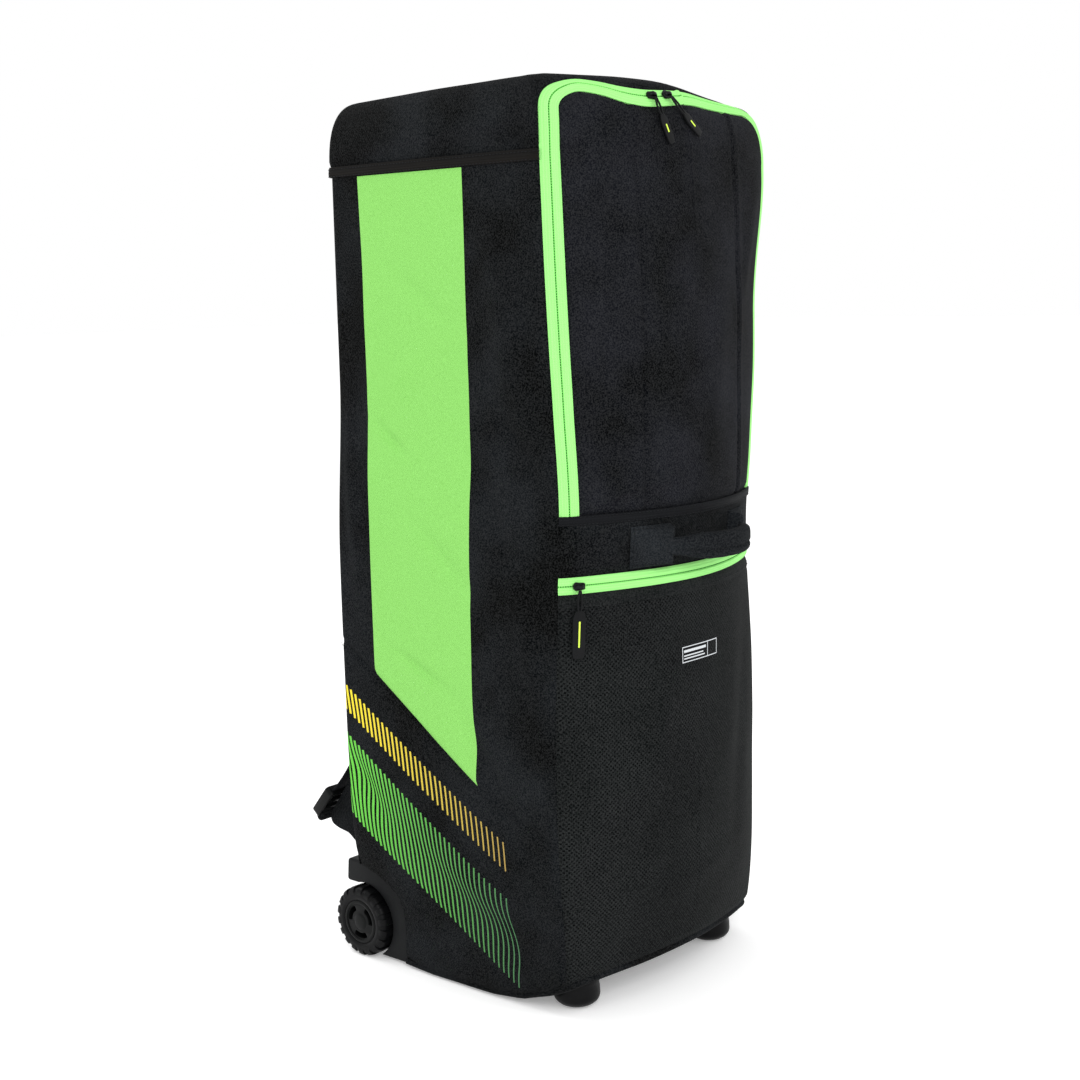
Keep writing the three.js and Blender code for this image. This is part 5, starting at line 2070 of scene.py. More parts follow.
@dataclass
class WheelUnit:
    """One wheel in its corner housing."""

    side: Side
    form: BagForm
    radius: float = 0.038
    width: float = 0.025
    hub_radius: float = 0.0236
    outer_face: float = 0.165
    axis_depth: float = 0.152
    groove_depth: float = 0.0016
    lugs: int = 18
    lug_share: float = 0.6
    plate_face: float = 0.154
    plate_depth: float = 0.024
    arch_gap: float = 0.0025
    plate: tuple = (
        (0.0900, 0.0035),
        (0.0875, 0.0450),
        (0.0885, 0.0640),
        (0.0935, 0.0790),
        (0.1060, 0.0895),
        (0.1210, 0.0975),
        (0.1390, 0.1030),
        (0.1780, 0.1020),
        (0.1800, 0.0770),
    )
    plate_back: float = 0.160

    @property
    def centre(self) -> Vector:
        """Middle of the wheel."""
        x = self.side.value * (self.outer_face - self.width / 2)
        return Vector((x, self.axis_depth, self.radius)) + Vector(self.form.shift)

    def turned(self, x: float) -> Matrix:
        """Matrix from an outline of depth and height to a place along X, thickness outwards."""
        shift = self.form.shift
        sign = self.side.value
        return Matrix(((0, 0, sign, sign * x), (1, 0, 0, shift[1]), (0, 1, 0, shift[2]), (0, 0, 0, 1)))

    def distance(self, depth: Array, height: Array) -> Array:
        """Distance outside the housing's outline, negative inside it.

        Args:
            depth: Depths of points, before the form is shifted.
            height: Heights of points.

        Returns:
            Distances in metres.
        """
        nearest = np.full(depth.shape, 1.0)
        inside = np.zeros(depth.shape, bool)
        corners = [*self.plate, (self.plate_back, self.plate[-1][1]), (self.plate_back, self.plate[0][1])]
        for (y0, z0), (y1, z1) in zip(corners, corners[1:] + corners[:1]):
            dy, dz = y1 - y0, z1 - z0
            t = np.clip(((depth - y0) * dy + (height - z0) * dz) / (dy * dy + dz * dz), 0, 1)
            nearest = np.minimum(nearest, np.hypot(depth - y0 - t * dy, height - z0 - t * dz))
            if dz:
                crosses = ((z0 > height) != (z1 > height)) & (depth < dy * (height - z0) / dz + y0)
                inside ^= crosses
        return np.where(inside, -nearest, nearest)

    def make_room(self, piece: Object) -> None:
        """Cuts the housing's corner out of a cloth panel.

        Args:
            piece: The panel.
        """
        gap, far = 0.0006, 0.02
        back, top = self.plate[-1][0], self.plate[-2][1]
        outline = [(self.plate[0][0] - gap, -2 * far)]
        outline += [(y - gap, z + gap) for y, z in self.plate[:-2]]
        outline += [(back + far, top + gap), (back + far, -2 * far)]
        inner = self.plate_face - self.plate_depth - gap
        depth = self.form.half_width + far - inner
        cutter = prism("cutter", outline, [], self.turned(inner + depth / 2), depth, 0.0)
        cut = piece.modifiers.new("room", "BOOLEAN")
        cut.operation = "DIFFERENCE"
        cut.solver = "EXACT"
        cut.object = cutter
        plain_mesh(piece)
        mesh = cutter.data
        bpy.data.objects.remove(cutter)
        bpy.data.meshes.remove(mesh)

    def tyre_profile(self) -> Array:
        """Closed profile of the tyre's carcass, along the axle and out from it."""
        half = self.width / 2
        inner = self.hub_radius + 0.0003
        floor = self.radius - self.groove_depth
        right = [
            (half - 0.001, inner),
            (half - 0.0002, inner + 0.0012),
            (half, inner + 0.004),
            (half - 0.0004, floor - 0.005),
            (half - 0.0016, floor - 0.0024),
            (half - 0.004, floor - 0.0006),
            (half - 0.007, floor),
        ]
        left = [(-x, r) for x, r in reversed(right)]
        return np.array(right + left)

    def lug(self, name: str) -> Object:
        """One tread lug that wraps over both shoulders."""
        half = self.width / 2 - 0.0002
        contour = [
            (-half, self.radius - 0.0085),
            (-half, self.radius - 0.0045),
            (-half + 0.0009, self.radius - 0.0022),
            (-half + 0.0030, self.radius - 0.0005),
            (-half + 0.0058, self.radius),
        ]
        contour += [(-x, r) for x, r in reversed(contour)]
        reach = math.pi / self.lugs * self.lug_share
        steps = ((-1.0, 0.0013), (-0.82, 0.0), (0.0, 0.0), (0.82, 0.0), (1.0, 0.0013))
        root = 0.0030
        bm = bmesh.new()
        grids = []
        for sunk in (0.0, root):
            grid = []
            for turn, drop in steps:
                row = []
                for x, r in contour:
                    radius = r - (drop if not sunk else root)
                    angle = reach * turn
                    offset = (
                        x * (1 if not sunk else 0.92), radius * math.sin(angle), radius * math.cos(angle)
                    )
                    row.append(bm.verts.new(self.centre + Vector(offset)))
                grid.append(row)
            grids.append(grid)
        top, low = grids
        last, end = len(steps) - 1, len(contour) - 1
        for i in range(last):
            for j in range(end):
                bm.faces.new((top[i][j], top[i + 1][j], top[i + 1][j + 1], top[i][j + 1]))
                bm.faces.new((low[i][j], low[i][j + 1], low[i + 1][j + 1], low[i + 1][j]))
            bm.faces.new((top[i][0], low[i][0], low[i + 1][0], top[i + 1][0]))
            bm.faces.new((top[i][end], top[i + 1][end], low[i + 1][end], low[i][end]))
        for j in range(end):
            bm.faces.new((top[0][j], top[0][j + 1], low[0][j + 1], low[0][j]))
            bm.faces.new((top[last][j], low[last][j], low[last][j + 1], top[last][j + 1]))
        return from_bmesh(name, bm, 30)

    def ring_tree(self) -> Tree:
        """Builds the tree that repeats a lug round the axle.

        Returns:
            The tree.
        """
        kinds = {"Lug": "Geometry", "Count": "Int", "Axle": "Vector", "Material": "Material"}
        tree = geometry_tree("lug_ring", kinds, "Ring")
        inputs = add(tree, "NodeGroupInput").outputs
        back = add(
            tree, "ShaderNodeVectorMath", {0: inputs["Axle"], "Scale": -1.0}, operation="SCALE"
        ).outputs[0]
        moved = add(
            tree, "GeometryNodeTransform", {"Geometry": inputs["Lug"], "Translation": back}
        ).outputs[0]
        points = add(tree, "GeometryNodePoints", {"Count": inputs["Count"], "Position": inputs["Axle"]})
        share = add(
            tree,
            "ShaderNodeMath",
            {0: add(tree, "GeometryNodeInputIndex").outputs[0], 1: inputs["Count"]},
            operation="DIVIDE",
        ).outputs[0]
        angle = add(tree, "ShaderNodeMath", {0: share, 1: 2 * math.pi}, operation="MULTIPLY").outputs[0]
        turn = add(tree, "ShaderNodeCombineXYZ", {0: angle}).outputs[0]
        ring = add(
            tree,
            "GeometryNodeInstanceOnPoints",
            {"Points": points.outputs[0], "Instance": moved, "Rotation": turn},
        ).outputs[0]
        real = add(tree, "GeometryNodeRealizeInstances", {0: ring}).outputs[0]
        painted = add(tree, "GeometryNodeSetMaterial", {"Geometry": real, "Material": inputs["Material"]})
        add(tree, "NodeGroupOutput", {0: painted.outputs[0]})
        return tree

    def hub(self) -> Object:
        """The moulded hub: a disc with three curved slots, a raised rim and a low cap."""
        label = self.side.label
        middle, half, reach = 0.66 * self.hub_radius, 0.0029, math.radians(33)
        slots = []
        for degrees in (150, 30, 270):
            start = math.radians(degrees)
            if self.side is Side.LEFT:
                start = math.pi - start
            turns = np.linspace(start - reach, start + reach, 9)
            outer = [((middle + half) * math.cos(t), (middle + half) * math.sin(t)) for t in turns]
            inner = [((middle - half) * math.cos(t), (middle - half) * math.sin(t)) for t in turns[::-1]]
            slots.append(
                [(self.axis_depth + y, self.radius + z) for y, z in filleted(outer + inner, 0.0016, 2)]
            )
        rim = circle(self.hub_radius, 64, (self.axis_depth, self.radius))
        face = self.outer_face - self.width / 2
        disc = prism("disc", rim, slots, self.turned(face), self.width - 0.0026, 0.0006)
        end = self.width / 2
        sign = self.side.value
        ring = [
            (end - 0.0022, 0.0192), (end - 0.0006, 0.0196), (end - 0.0002, 0.0206), (end - 0.0002, 0.0222)
        ]
        ring += [(end - 0.001, 0.0234), (end - 0.0022, 0.0235)]
        rim_part = lathe("rim", np.array([(sign * x, r) for x, r in ring]), self.centre, 64)
        cap = [(end - 0.004, 0.0), (end - 0.004, 0.0098), (end - 0.0014, 0.0094), (end - 0.0006, 0.0082)]
        cap += [(end - 0.0001, 0.005), (end, 0.0)]
        cap_part = lathe("cap", np.array([(sign * x, r) for x, r in cap]), self.centre, 40)
        return joined(f"hub_{label}_moulding", [disc, rim_part, cap_part])

    def housing(self) -> Object:
        """The corner plate with its wheel arch, the wall behind the wheel and the axle."""
        label = self.side.label
        arch = self.radius + self.arch_gap
        inner = self.plate_face - self.plate_depth
        wall_face = self.outer_face - self.width - self.arch_gap
        wall_depth = wall_face - inner
        low, block = self.plate[0][1], self.plate[-1][1]
        closed = [*self.plate[:-2], (self.plate_back, self.plate[-2][1]), (self.plate_back, low)]
        wall = prism(
            "wall", filleted(closed, 0.006), [], self.turned(inner + wall_depth / 2), wall_depth, 0.001
        )
        start = math.asin((block - self.radius) / arch)
        stop = math.pi + math.asin((self.radius - low) / arch)
        turns = np.linspace(start, stop, 40)
        bow = [(self.axis_depth + arch * math.cos(t), self.radius + arch * math.sin(t)) for t in turns]
        crescent = [self.plate[0], *filleted([*self.plate, bow[0]], 0.004)[5:-5], *bow]
        depth = self.plate_face - wall_face
        rim = prism("rim", crescent, [], self.turned(wall_face + depth / 2), depth + 0.001, 0.0014)
        axle = [(-0.016, 0.0), (-0.016, 0.0045), (0.0115, 0.0045), (0.0115, 0.0)]
        sign = self.side.value
        pin = lathe("pin", np.array([(sign * x, r) for x, r in axle]), self.centre, 32)
        return joined(f"wheel_housing_{label}_moulding", [wall, rim, pin])

    def build(self, wardrobe: Wardrobe) -> None:
        """Makes the housing, the tyre with its lugs and the hub."""
        label = self.side.label
        body = f"wheel_{label}"
        dress(self.housing(), wardrobe.abs_plastic, [f"wheel_housing_{label}"])
        carcass = lathe(f"tyre_{label}_carcass", self.tyre_profile(), self.centre, 96)
        dress(carcass, wardrobe.rubber, [f"tyre_{label}"], body)
        values = {"Count": self.lugs, "Axle": self.centre, "Material": wardrobe.rubber}
        lugs = run_tree(self.lug(f"tyre_{label}_lugs"), self.ring_tree(), values)
        lugs.data.set_sharp_from_angle(angle=math.radians(30))
        dress(lugs, wardrobe.rubber, (), body)
        dress(self.hub(), wardrobe.nylon, [f"hub_{label}"], body)
        LOG.info("wheel %s made", label)


@dataclass
class Foot:
    """A rubber dome under a front corner."""

    side: Side
    form: BagForm
    radius: float = 0.0235
    height: float = 0.0322
    x: float = 0.1125
    y: float = -0.111
    aside: float = -0.003

    def build(self, wardrobe: Wardrobe) -> None:
        """Makes the dome, rounded below and slightly waisted above."""
        flat, bulge = 0.006, 0.0115
        turns = np.linspace(0, math.pi / 2, 12)
        profile = [(0.0, 0.0)]
        profile += [(bulge * (1 - math.cos(t)), flat + (self.radius - flat) * math.sin(t)) for t in turns]
        profile += [
            (0.019, self.radius - 0.0003), (0.0235, self.radius - 0.0012), (0.025, self.radius - 0.0006)
        ]
        profile += [
            (0.0285, self.radius - 0.0004), (self.height - 0.001, self.radius - 0.0008), (self.height, 0.0)
        ]
        centre = Vector((self.side.value * self.x + self.aside, self.y, 0)) + Vector(self.form.shift)
        label = self.side.label
        dome = lathe(f"foot_{label}_dome", np.array(profile), centre, 64, "Z")
        for vertex in dome.data.vertices:
            under = float(self.form.base_height(vertex.co.y - centre.y + self.y)) + self.form.shift[2]
            vertex.co.z = min(vertex.co.z, under + 0.0006)
        dress(dome, wardrobe.rubber, [f"foot_{label}"])


@dataclass
class CarryHandle:
    """The padded front grip and its two sewn patches."""

    form: BagForm
    thread: Thread
    height: float = 0.463
    half_span: float = 0.063
    centre: float = 0.008
    reach: float = 0.035
    width: float = 0.027
    thickness: float = 0.0125
    end_width: float = 0.62
    taper_length: float = 0.045
    patch_width: float = 0.046
    patch_aside: float = 0.012
    patch_height: float = 0.040
    patch_thickness: float = 0.0035
    patch_pull: float = 0.012
    gap: float = 0.0003

    def place(self, share: float, lift: float) -> Array:
        """A point over the band at a share of the half span."""
        length = float(self.form.front_length(self.height))
        return self.form.over((self.centre + share * self.half_span) / length, self.height, lift)

    def grip(self, wardrobe: Wardrobe) -> None:
        """Makes the padded grip with the seam of its wrapped cover."""
        seat = self.patch_thickness + 2 * self.gap + 0.005
        keys = [
            (-1.0, seat),
            (-0.72, seat + 0.35 * self.reach),
            (-0.38, self.gap + 0.9 * self.reach),
            (0.0, self.gap + self.reach),
        ]
        keys += [(-share, lift) for share, lift in reversed(keys[:-1])]
        points = np.array([self.place(share, lift) for share, lift in keys])
        run = along(points)
        even = np.linspace(0, run[-1], 60)
        path = np.stack([smooth_table(run, points[:, k], even) for k in range(3)], -1)
        ends = np.minimum(even, even[-1] - even)
        taper = self.end_width + (1 - self.end_width) * smooth_step(ends / self.taper_length)
        section = rounded_section(self.width, self.thickness)
        up = np.array([0, 0, 1.0])
        piece = sweep("carry_handle_grip", path, up, section, taper)
        Padding(voxel=0.0028, reach=0.0018).swell(piece)
        tangent = unit(np.gradient(path, axis=0))
        out = unit(np.cross(tangent, up))
        inside = slice(4, -4)
        seam = path[inside] + out[inside] * (self.thickness / 2) - up * 0.004
        press(piece, seam, out[inside], 0.006, 0.0026, 0.0016)
        dress(piece, wardrobe.handle, ["carry_handle"])
        row = seam - out[inside] * 0.0012 - up * 0.0042
        self.thread.run(row, out[inside])

    def patch(self, side: Side, wardrobe: Wardrobe) -> None:
        """Makes one stitched patch under an end of the grip."""
        form = self.form
        length = float(form.front_length(self.height))
        middle = self.centre + side.value * (self.half_span + self.patch_aside)
        across = (middle + np.linspace(-0.5, 0.5, 15) * self.patch_width) / length
        climb = self.height + np.linspace(-0.5, 0.5, 19) * self.patch_height
        climb, station = np.meshgrid(climb, across, indexing="ij")
        base = form.skin(station, climb)
        out = form.outward(station, climb)
        u = np.abs(np.linspace(-1, 1, 15))[None, :]
        v = np.abs(np.linspace(-1, 1, 19))[:, None]
        dome = np.sqrt(np.clip(1 - np.maximum(u, v) ** 6, 0, 1))
        stitched = np.exp(-(((np.maximum(u, v) - 0.84) / 0.06) ** 2))
        lift = form.relief(station, base) + self.gap
        lift = lift + self.patch_thickness * (0.45 + 0.55 * dome) - 0.0005 * stitched
        pulled = smooth_step((0.5 - side.value * np.linspace(-1, 1, 15)) / 1.4)
        lift = lift + self.patch_pull * pulled[None, :] * dome
        outer = base + out * lift[..., None]
        name = f"handle_patch_{side.label}"
        piece = sheet_piece(f"{name}_cloth", outer, base + out * 0.0001, base[..., [0, 2]])
        dress(piece, wardrobe.handle, [name])
        rows = [outer[1:-1, 1], outer[1:-1, -2], outer[1, 1:-1], outer[-2, 1:-1]]
        outs = [out[1:-1, 1], out[1:-1, -2], out[1, 1:-1], out[-2, 1:-1]]
        for row, direction in zip(rows, outs):
            self.thread.run(row, direction)

    def build(self, wardrobe: Wardrobe) -> None:
        """Makes the grip and both patches."""
        self.grip(wardrobe)
        for side in Side:
            self.patch(side, wardrobe)
        LOG.info("carry handle made")


@dataclass
class ShoulderStrap:
    """One backpack strap: padded strap, webbing, buckle and the wing that holds it."""

    side: Side
    form: BagForm
    thread: Thread
    width: float = 0.060
    thickness: float = 0.012
    reach: float = 0.024
    top: tuple[float, float] = (0.058, 0.800)
    bottom: tuple[float, float] = (0.108, 0.335)
    # Share of the strap's length, share of its reach from the back and share of its spread.
    route: tuple = (
        (0, 0, 0), (0.08, 0.05, 0.05), (0.3, 0.8, 0.3), (0.55, 1, 0.6), (0.8, 0.6, 0.85), (1, 0.2, 1)
    )
    buckle_centre: tuple[float, float, float] = (0.150, 0.204, 0.162)
    buckle_size: tuple[float, float, float] = (0.034, 0.041, 0.0115)
    buckle_lean: float = 0.72
    webbing_width: float = 0.025
    webbing_thickness: float = 0.0019
    wing_thickness: float = 0.003
    # Side view of the sewn wing, from its lower root round the buckle to its upper one.
    wing_outline: tuple = (
        (0.1540, 0.1030),
        (0.1635, 0.1090),
        (0.1660, 0.1200),
        (0.1790, 0.1290),
        (0.1940, 0.1310),
        (0.2050, 0.1350),
        (0.2080, 0.1440),
        (0.1930, 0.1640),
        (0.1830, 0.1780),
        (0.1720, 0.1930),
        (0.1540, 0.2080),
    )
    roll_radius: float = 0.0055

    def middle_line(self) -> Array:
        """Points of the strap's middle line from its top to its lower end."""
        drop, reach, spread = (np.array([row[k] for row in self.route], float) for k in range(3))
        t = np.linspace(0, 1, 90)
        off = self.form.back_depth + self.form.back_crown + 0.0003 + self.thickness / 2
        x = self.top[0] + (self.bottom[0] - self.top[0]) * smooth_table(drop, spread, t)
        y = off + self.reach * smooth_table(drop, reach, t)
        z = self.top[1] + (self.bottom[1] - self.top[1]) * t
        return np.stack([self.side.value * x, y, z], -1) + self.form.shift

    def build(self, wardrobe: Wardrobe) -> None:
        """Makes the strap and its hardware."""
        label = self.side.label
        path = self.middle_line()
        across = np.array([1.0, 0, 0])
        section = rounded_section(self.width - 0.004, self.thickness - 0.003)
        pad = sweep(f"shoulder_strap_{label}_pad", path, across, section)
        Padding(voxel=0.004, reach=0.0022).swell(pad)
        tangent = unit(np.gradient(path, axis=0))
        out = unit(np.cross(across, tangent)) * -1
        out *= np.sign(out[:, 1:2])
        inside = slice(3, -3)
        edge = self.width / 2 - 0.008
        for aside in (-edge, edge):
            seam = path[inside] + across * aside + out[inside] * (self.thickness / 2)
            press(pad, seam, out[inside], 0.004, 0.0014, 0.0022)
            self.thread.run(seam - out[inside] * 0.0014, out[inside])
        dress(pad, wardrobe.cloth, [f"shoulder_strap_{label}"])
        self.hardware(path, wardrobe)
        LOG.info("shoulder strap %s made", label)

    def hardware(self, path: Array, wardrobe: Wardrobe) -> None:
        """Makes the wing, the buckle and the webbing between them.

        Args:
            path: The strap's middle line.
            wardrobe: The bag's materials.
        """
        label, sign = self.side.label, self.side.value
        shift = self.form.shift
        direction = np.array([0, math.sin(self.buckle_lean), -math.cos(self.buckle_lean)])
        centre = np.array([sign * self.buckle_centre[0], *self.buckle_centre[1:]]) + shift
        width, length, thickness = self.buckle_size
        upper, lower = centre - direction * length / 2, centre + direction * length / 2
        across = np.array([1.0, 0, 0])
        out = np.cross(direction, across)
        out *= np.sign(out[1])
        place = placed(across, np.cross(out, across), out, centre)
        half, tall = width / 2, length / 2
        outline = filleted([(-half, -tall), (half, -tall), (half * 0.92, tall), (-half * 0.92, tall)], 0.005)
        slots = []
        inner = half - 0.0042
        for low, high in ((-0.0155, -0.0075), (-0.003, 0.0035), (0.0085, 0.0145)):
            slots.append(filleted([(-inner, low), (inner, low), (inner, high), (-inner, high)], 0.0012, 2))
        frame_part = prism("frame", outline, slots, place, thickness, 0.0012)
        name = f"strap_buckle_{label}"
        dress(joined(f"{name}_moulding", [frame_part]), wardrobe.nylon, [name])
        start = path[-1] - unit(path[-1] - path[-6]) * 0.006
        run = upper + direction * 0.012 + out * 0.001
        behind = start * 0.45 + run * 0.55
        behind[0] = sign * 0.125
        behind[1] = self.form.back_depth + self.form.back_crown + shift[1] + 0.006
        keys = np.array([start, behind, upper - direction * 0.006 - out * 0.0015, run])
        steps = along(keys)
        even = np.linspace(0, steps[-1], 50)
        line = np.stack([smooth_table(steps, keys[:, k], even) for k in range(3)], -1)
        section = rounded_section(self.webbing_width, self.webbing_thickness, 3)
        webbing = sweep(f"strap_webbing_{label}_tape", line, across, section)
        dress(webbing, wardrobe.webbing, [f"strap_webbing_{label}"])
        self.wing(lower - direction * 0.003 - out * 0.006, wardrobe)

    def wing(self, low: Array, wardrobe: Wardrobe) -> None:
        """Makes the sewn wing between the back and the buckle, rolled round the buckle's lower bar.

        Args:
            low: Middle of the roll.
            wardrobe: The bag's materials.
        """
        label, sign = self.side.label, self.side.value
        shift = self.form.shift
        turned = Matrix(
            ((0, 0, 1, sign * self.buckle_centre[0]), (1, 0, 0, shift[1]), (0, 1, 0, shift[2]), (0, 0, 0, 1))
        )
        wing = prism("wing", filleted(self.wing_outline, 0.004), [], turned, self.wing_thickness, 0.0011)
        reach = self.webbing_width / 2
        line = low + np.array([1.0, 0, 0]) * np.linspace(-reach, reach, 8)[:, None]
        roll = sweep("roll", line, np.array([0, 0, 1.0]), np.array(circle(self.roll_radius, 16)))
        name = f"strap_gusset_{label}"
        dress(joined(f"{name}_cloth", [wing, roll]), wardrobe.cloth, [name])


@dataclass
class Fasteners:
    """The zips' sliders and pullers."""

    form: BagForm
    slider: tuple[float, float, float] = (0.009, 0.012, 0.0036)
    puller_thickness: float = 0.002
    puller_lift: float = 0.0055
    rows: tuple = (("left", -0.049, -0.032, 0.037), ("right", -0.027, 0.012, 0.032))
    pocket_station: float = -0.88
    pocket_climb: float = 0.4315
    # Length and width of the moulded pullers, and the length of the pocket puller's cord.
    flap_tab: tuple[float, float] = (0.029, 0.0098)
    pocket_tab: tuple[float, float] = (0.046, 0.0135)
    cord: float = 0.018

    def seat(self, station: float, climb: float, lift: float) -> Matrix:
        """Matrix from a plane on the cloth, X along it, Y up it and Z out of it, to the bag."""
        s, c = np.array([station]), np.array([climb])
        out = self.form.outward(s, c)[0]
        point = self.form.skin(s, c)[0] + out * lift
        right = (self.form.skin(s + 0.004, c) - self.form.skin(s - 0.004, c))[0]
        right = unit(right - out * float(right @ out))
        up = np.cross(out, right)
        return placed(right, up, out, point)

    def slider_piece(self, name: str, place: Matrix, turn: float) -> Object:
        """A zip slider: a waisted shield with a bridge over it.

        Args:
            name: The piece's name.
            place: Matrix from the cloth's plane.
            turn: Turn in the cloth's plane, in radians.

        Returns:
            The piece.
        """
        width, length, height = self.slider
        w, h = width / 2, length / 2
        outline = [(-w * 0.7, -h), (w * 0.7, -h), (w * 0.8, 0), (w, h * 0.55), (w * 0.45, h), (-w * 0.45, h)]
        outline += [(-w, h * 0.55), (-w * 0.8, 0)]
        local = place @ Matrix.Rotation(turn, 4, "Z")
        shield = prism("shield", filleted(outline, 0.0016, 3), [], local, height * 0.75, 0.0006)
        rise = height * 0.375
        turns = np.linspace(0, math.pi, 12)
        arch = np.stack([np.zeros(12), 0.0042 * np.cos(turns), rise + 0.0024 * np.sin(turns)], -1)
        world = np.array([local @ Vector(p) for p in arch])
        broad = np.array((local.to_3x3() @ Vector((1, 0, 0))))
        bridge = sweep("bridge", world, broad, rounded_section(0.003, 0.0011, 2))
        return joined(name, [shield, bridge])

    def puller_piece(
        self, name: str, start: Array, end: Array, out: Array, tab: float, width: float
    ) -> tuple[Object, Object]:
        """A moulded puller on a loop of cord, with a plain printed stripe.

        Args:
            name: The piece's name.
            start: Where the cord leaves the slider.
            end: The puller's end.
            out: Direction out of the cloth.
            tab: Length of the moulded part.
            width: Its width.

        Returns:
            The puller and its stripe.
        """
        down = unit(end - start)
        out = unit(out - down * float(out @ down))
        across = np.cross(down, out)
        length = float(np.linalg.norm(end - start))
        t = self.puller_thickness
        place = placed(across, down, out, start)
        top = length - tab
        w = width / 2
        outline = [(-w * 0.6, top), (w * 0.6, top), (w, top + 0.007), (w * 0.94, length - 0.003)]
        outline += [(w * 0.7, length), (-w * 0.7, length), (-w * 0.94, length - 0.003), (-w, top + 0.007)]
        body = prism("body", filleted(outline, 0.002, 3), [], place, t, 0.0006)
        parts = [body]
        for aside in (-0.0014, 0.0014):
            line = np.linspace(0, 1, 14)[:, None]
            bulge = np.sin(line * math.pi) * aside
            path = start + down * line * (top + 0.004) + across * (aside * 0.4 + bulge) + out * 0.0002
            parts.append(sweep("cord", path, across, rounded_section(0.0021, 0.0018, 2)))
        bar = [
            (-0.0008, top + 0.010), (0.0008, top + 0.010), (0.0008, length - 0.011), (-0.0008, length - 0.011)
        ]
        lifted = place @ Matrix.Translation((0, 0, t / 2))
        stripe = prism(f"{name}_stripe", filleted(bar, 0.0006, 2), [], lifted, 0.0006, 0.0001)
        return joined(f"{name}_moulding", parts), stripe

    def build(self, wardrobe: Wardrobe) -> None:
        """Makes the three sliders and their pullers."""
        form = self.form
        length = float(form.front_length(form.cap_seam))
        for label, slider, tip, drop in self.rows:
            climb = form.zip_top - float(form.sag(np.array([slider / length]))[0]) - form.zip_width / 2
            turn = math.copysign(math.pi / 2, tip)
            place = self.seat(slider / length, climb, self.slider[2] / 2)
            piece = self.slider_piece(f"flap_slider_{label}_body", place, turn)
            dress(piece, wardrobe.zinc, [f"flap_slider_{label}"])
            start_climb = climb - self.slider[1] / 2 + 0.002
            start = form.over(slider / length, start_climb, self.puller_lift)
            end = form.over(tip / length, climb - drop, self.puller_lift - self.puller_thickness)
            out = form.outward(np.array([tip / length]), np.array([climb - drop / 2]))[0]
            puller, stripe = self.puller_piece(f"flap_puller_{label}", start, end, out, *self.flap_tab)
            dress(puller, wardrobe.silicone, [f"flap_puller_{label}"])
            dress(stripe, wardrobe.stripe)
        place = self.seat(self.pocket_station, self.pocket_climb, self.slider[2] / 2)
        piece = self.slider_piece("pocket_slider_body", place, math.pi / 2)
        dress(piece, wardrobe.zinc, ["pocket_slider"])
        bottom = self.pocket_climb - 0.0048 - self.cord - self.pocket_tab[0]
        start = form.over(self.pocket_station, self.pocket_climb - 0.0035, 0.0045)
        end = form.over(self.pocket_station, bottom, 0.0022)
        out = form.outward(np.array([self.pocket_station]), np.array([bottom]))[0]
        puller, stripe = self.puller_piece("pocket_puller", start, end, out, *self.pocket_tab)
        dress(puller, wardrobe.silicone, ["pocket_puller"])
        dress(stripe, wardrobe.stripe)
        LOG.info("sliders and pullers made")


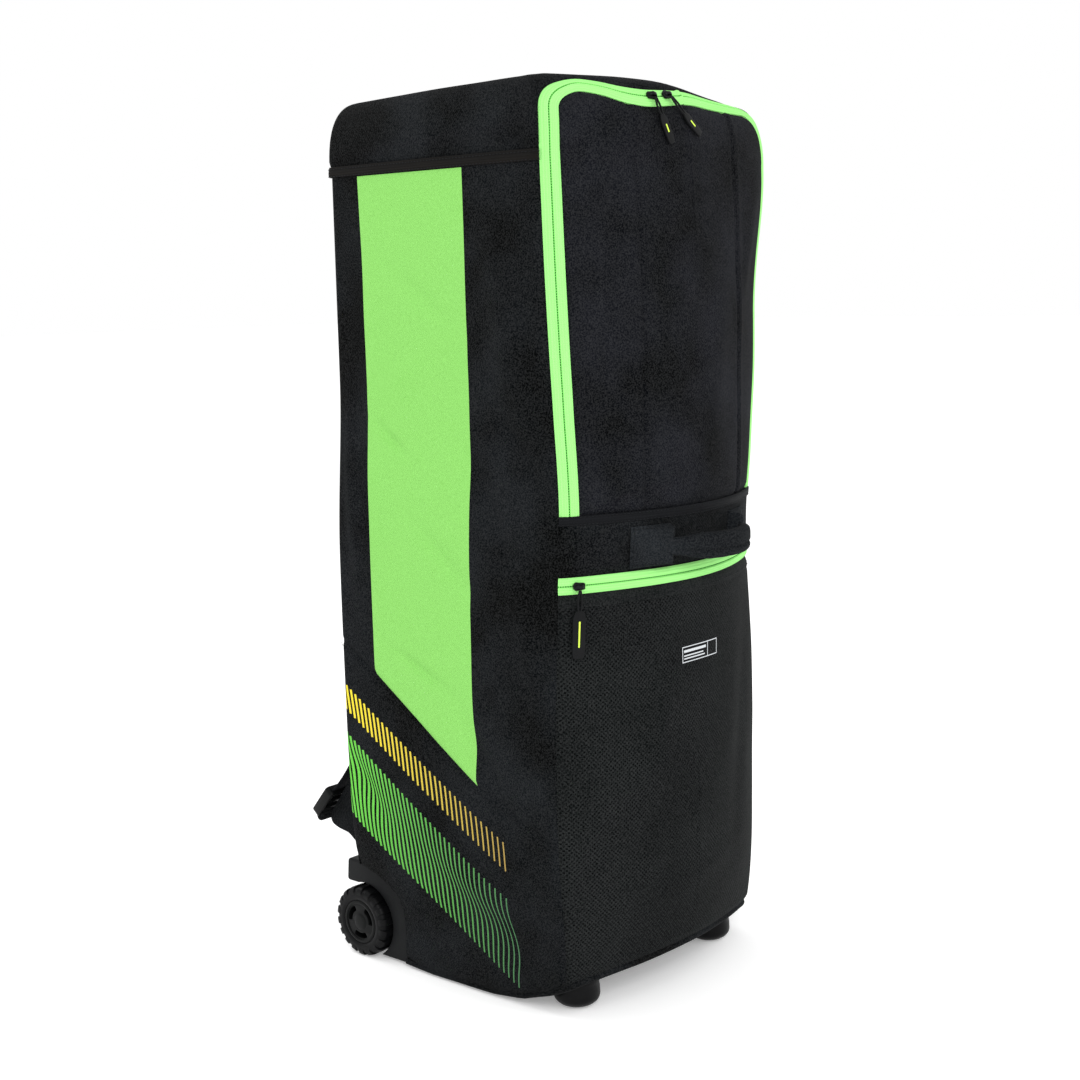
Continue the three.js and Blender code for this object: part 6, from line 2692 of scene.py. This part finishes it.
@dataclass
class Studio:
    """The pale floor, the soft lights and the camera at the photograph's viewing angle."""

    form: BagForm
    place: tuple[float, float, float] = (-1.363, -1.167, 0.707)
    yaw: float = 48.80
    pitch: float = 8.28
    roll: float = -1.24
    focal: float = 1716.0
    frame_size: float = 1080.0
    sensor: float = 36.0
    # Name, place, size in metres and power in watts.
    lights: tuple = (
        ("key", (-2.0, -2.4, 2.2), 1.2, 40),
        ("fill", (1.2, -3.0, 1.6), 2.0, 12),
        ("rim", (-0.6, 2.2, 2.4), 1.2, 25),
    )

    def camera(self) -> None:
        """Sets the camera."""
        yaw, pitch, roll = (math.radians(v) for v in (self.yaw, self.pitch, self.roll))
        forward = Vector((math.sin(yaw) * math.cos(pitch), math.cos(yaw) * math.cos(pitch), -math.sin(pitch)))
        level = Vector((math.cos(yaw), -math.sin(yaw), 0))
        upright = level.cross(forward)
        right = math.cos(roll) * level + math.sin(roll) * upright
        up = -math.sin(roll) * level + math.cos(roll) * upright
        data = bpy.data.cameras.new("camera")
        data.sensor_width = self.sensor
        data.lens = self.focal * self.sensor / self.frame_size
        camera = bpy.data.objects.new("camera", data)
        bpy.context.scene.collection.objects.link(camera)
        place = Vector(self.place) + Vector(self.form.shift)
        camera.matrix_world = placed(right, up, -forward, place)
        bpy.context.scene.camera = camera

    def light(self, name: str, place: Vector, size: float, power: float) -> None:
        """Adds a square softbox that faces the bag."""
        data = bpy.data.lights.new(name, "AREA")
        data.shape = "SQUARE"
        data.size = size
        data.energy = power
        lamp = bpy.data.objects.new(name, data)
        lamp.location = place
        aim = Vector((0, 0, 0.45)) - place
        lamp.rotation_euler = aim.to_track_quat("-Z", "Y").to_euler()
        bpy.context.scene.collection.objects.link(lamp)

    def build(self) -> None:
        """Makes the floor, the sky and the lights, and sets the camera."""
        bm = bmesh.new()
        reach = 30.0
        bmesh.ops.create_grid(bm, x_segments=4, y_segments=4, size=reach)
        floor = from_bmesh("studio_floor", bm)
        paper = bpy.data.materials.new("matt_white_paper")
        paper.use_nodes = True
        shader = paper.node_tree.nodes["Principled BSDF"]
        shader.inputs["Base Color"].default_value = linear("F4F4F4")
        shader.inputs["Roughness"].default_value = 0.95
        # A faint white emission of the paper keeps it white up to the horizon.
        shader.inputs["Emission Color"].default_value = linear("FFFFFF")
        shader.inputs["Emission Strength"].default_value = 0.25
        floor.data.materials.append(paper)
        world = bpy.data.worlds.new("studio")
        world.use_nodes = True
        sky = world.node_tree.nodes["Background"]
        sky.inputs[0].default_value = (1, 1, 1, 1)
        sky.inputs[1].default_value = 1.0
        bpy.context.scene.world = world
        bpy.context.scene.view_settings.view_transform = "Standard"
        for name, place, size, power in self.lights:
            self.light(name, Vector(place), size, power)
        self.camera()


def main() -> None:
    """Builds the bag, sub-assembly by sub-assembly."""
    logging.basicConfig(level=logging.INFO, format="%(message)s")
    form = BagForm()
    thread = Thread()
    wardrobe = Wardrobe()
    wheels = {side: WheelUnit(side, form) for side in Side}
    Studio(form).build()
    Shell(form, thread, wheels).build(wardrobe)
    FlapZip(form, "main_zip", "flap_zip_tape", width=form.zip_width).build(wardrobe)
    PocketZip(form, "pocket_closure", "pocket_zip_tape", width=0.016).build(wardrobe)
    around = np.concatenate([span(1.0, 3.0, 0.004, 0.46), span(3.0, 5.0, 0.004, 0.46)[1:]])
    cap_tape = SewnTape(
        form, thread, "cap_seam_tape", "cap_binding", low=0.8234, high=0.8305, stations=around
    )
    cap_tape.build(wardrobe.binding)
    across = span(-1.0, 1.0, 0.0032, 0.35)
    band_tape = SewnTape(
        form, thread, "band_webbing", "band_binding", low=0.4885, high=0.4975, stations=across
    )
    band_tape.build(wardrobe.webbing)
    LOG.info("zips and sewn tapes made")
    CarryHandle(form, thread).build(wardrobe)
    for side in Side:
        ShoulderStrap(side, form, thread).build(wardrobe)
        Foot(side, form).build(wardrobe)
    for wheel in wheels.values():
        wheel.build(wardrobe)
    Fasteners(form).build(wardrobe)
    thread.build(wardrobe)
    LOG.info("bag dressed")


if __name__ == "__main__":
    main()
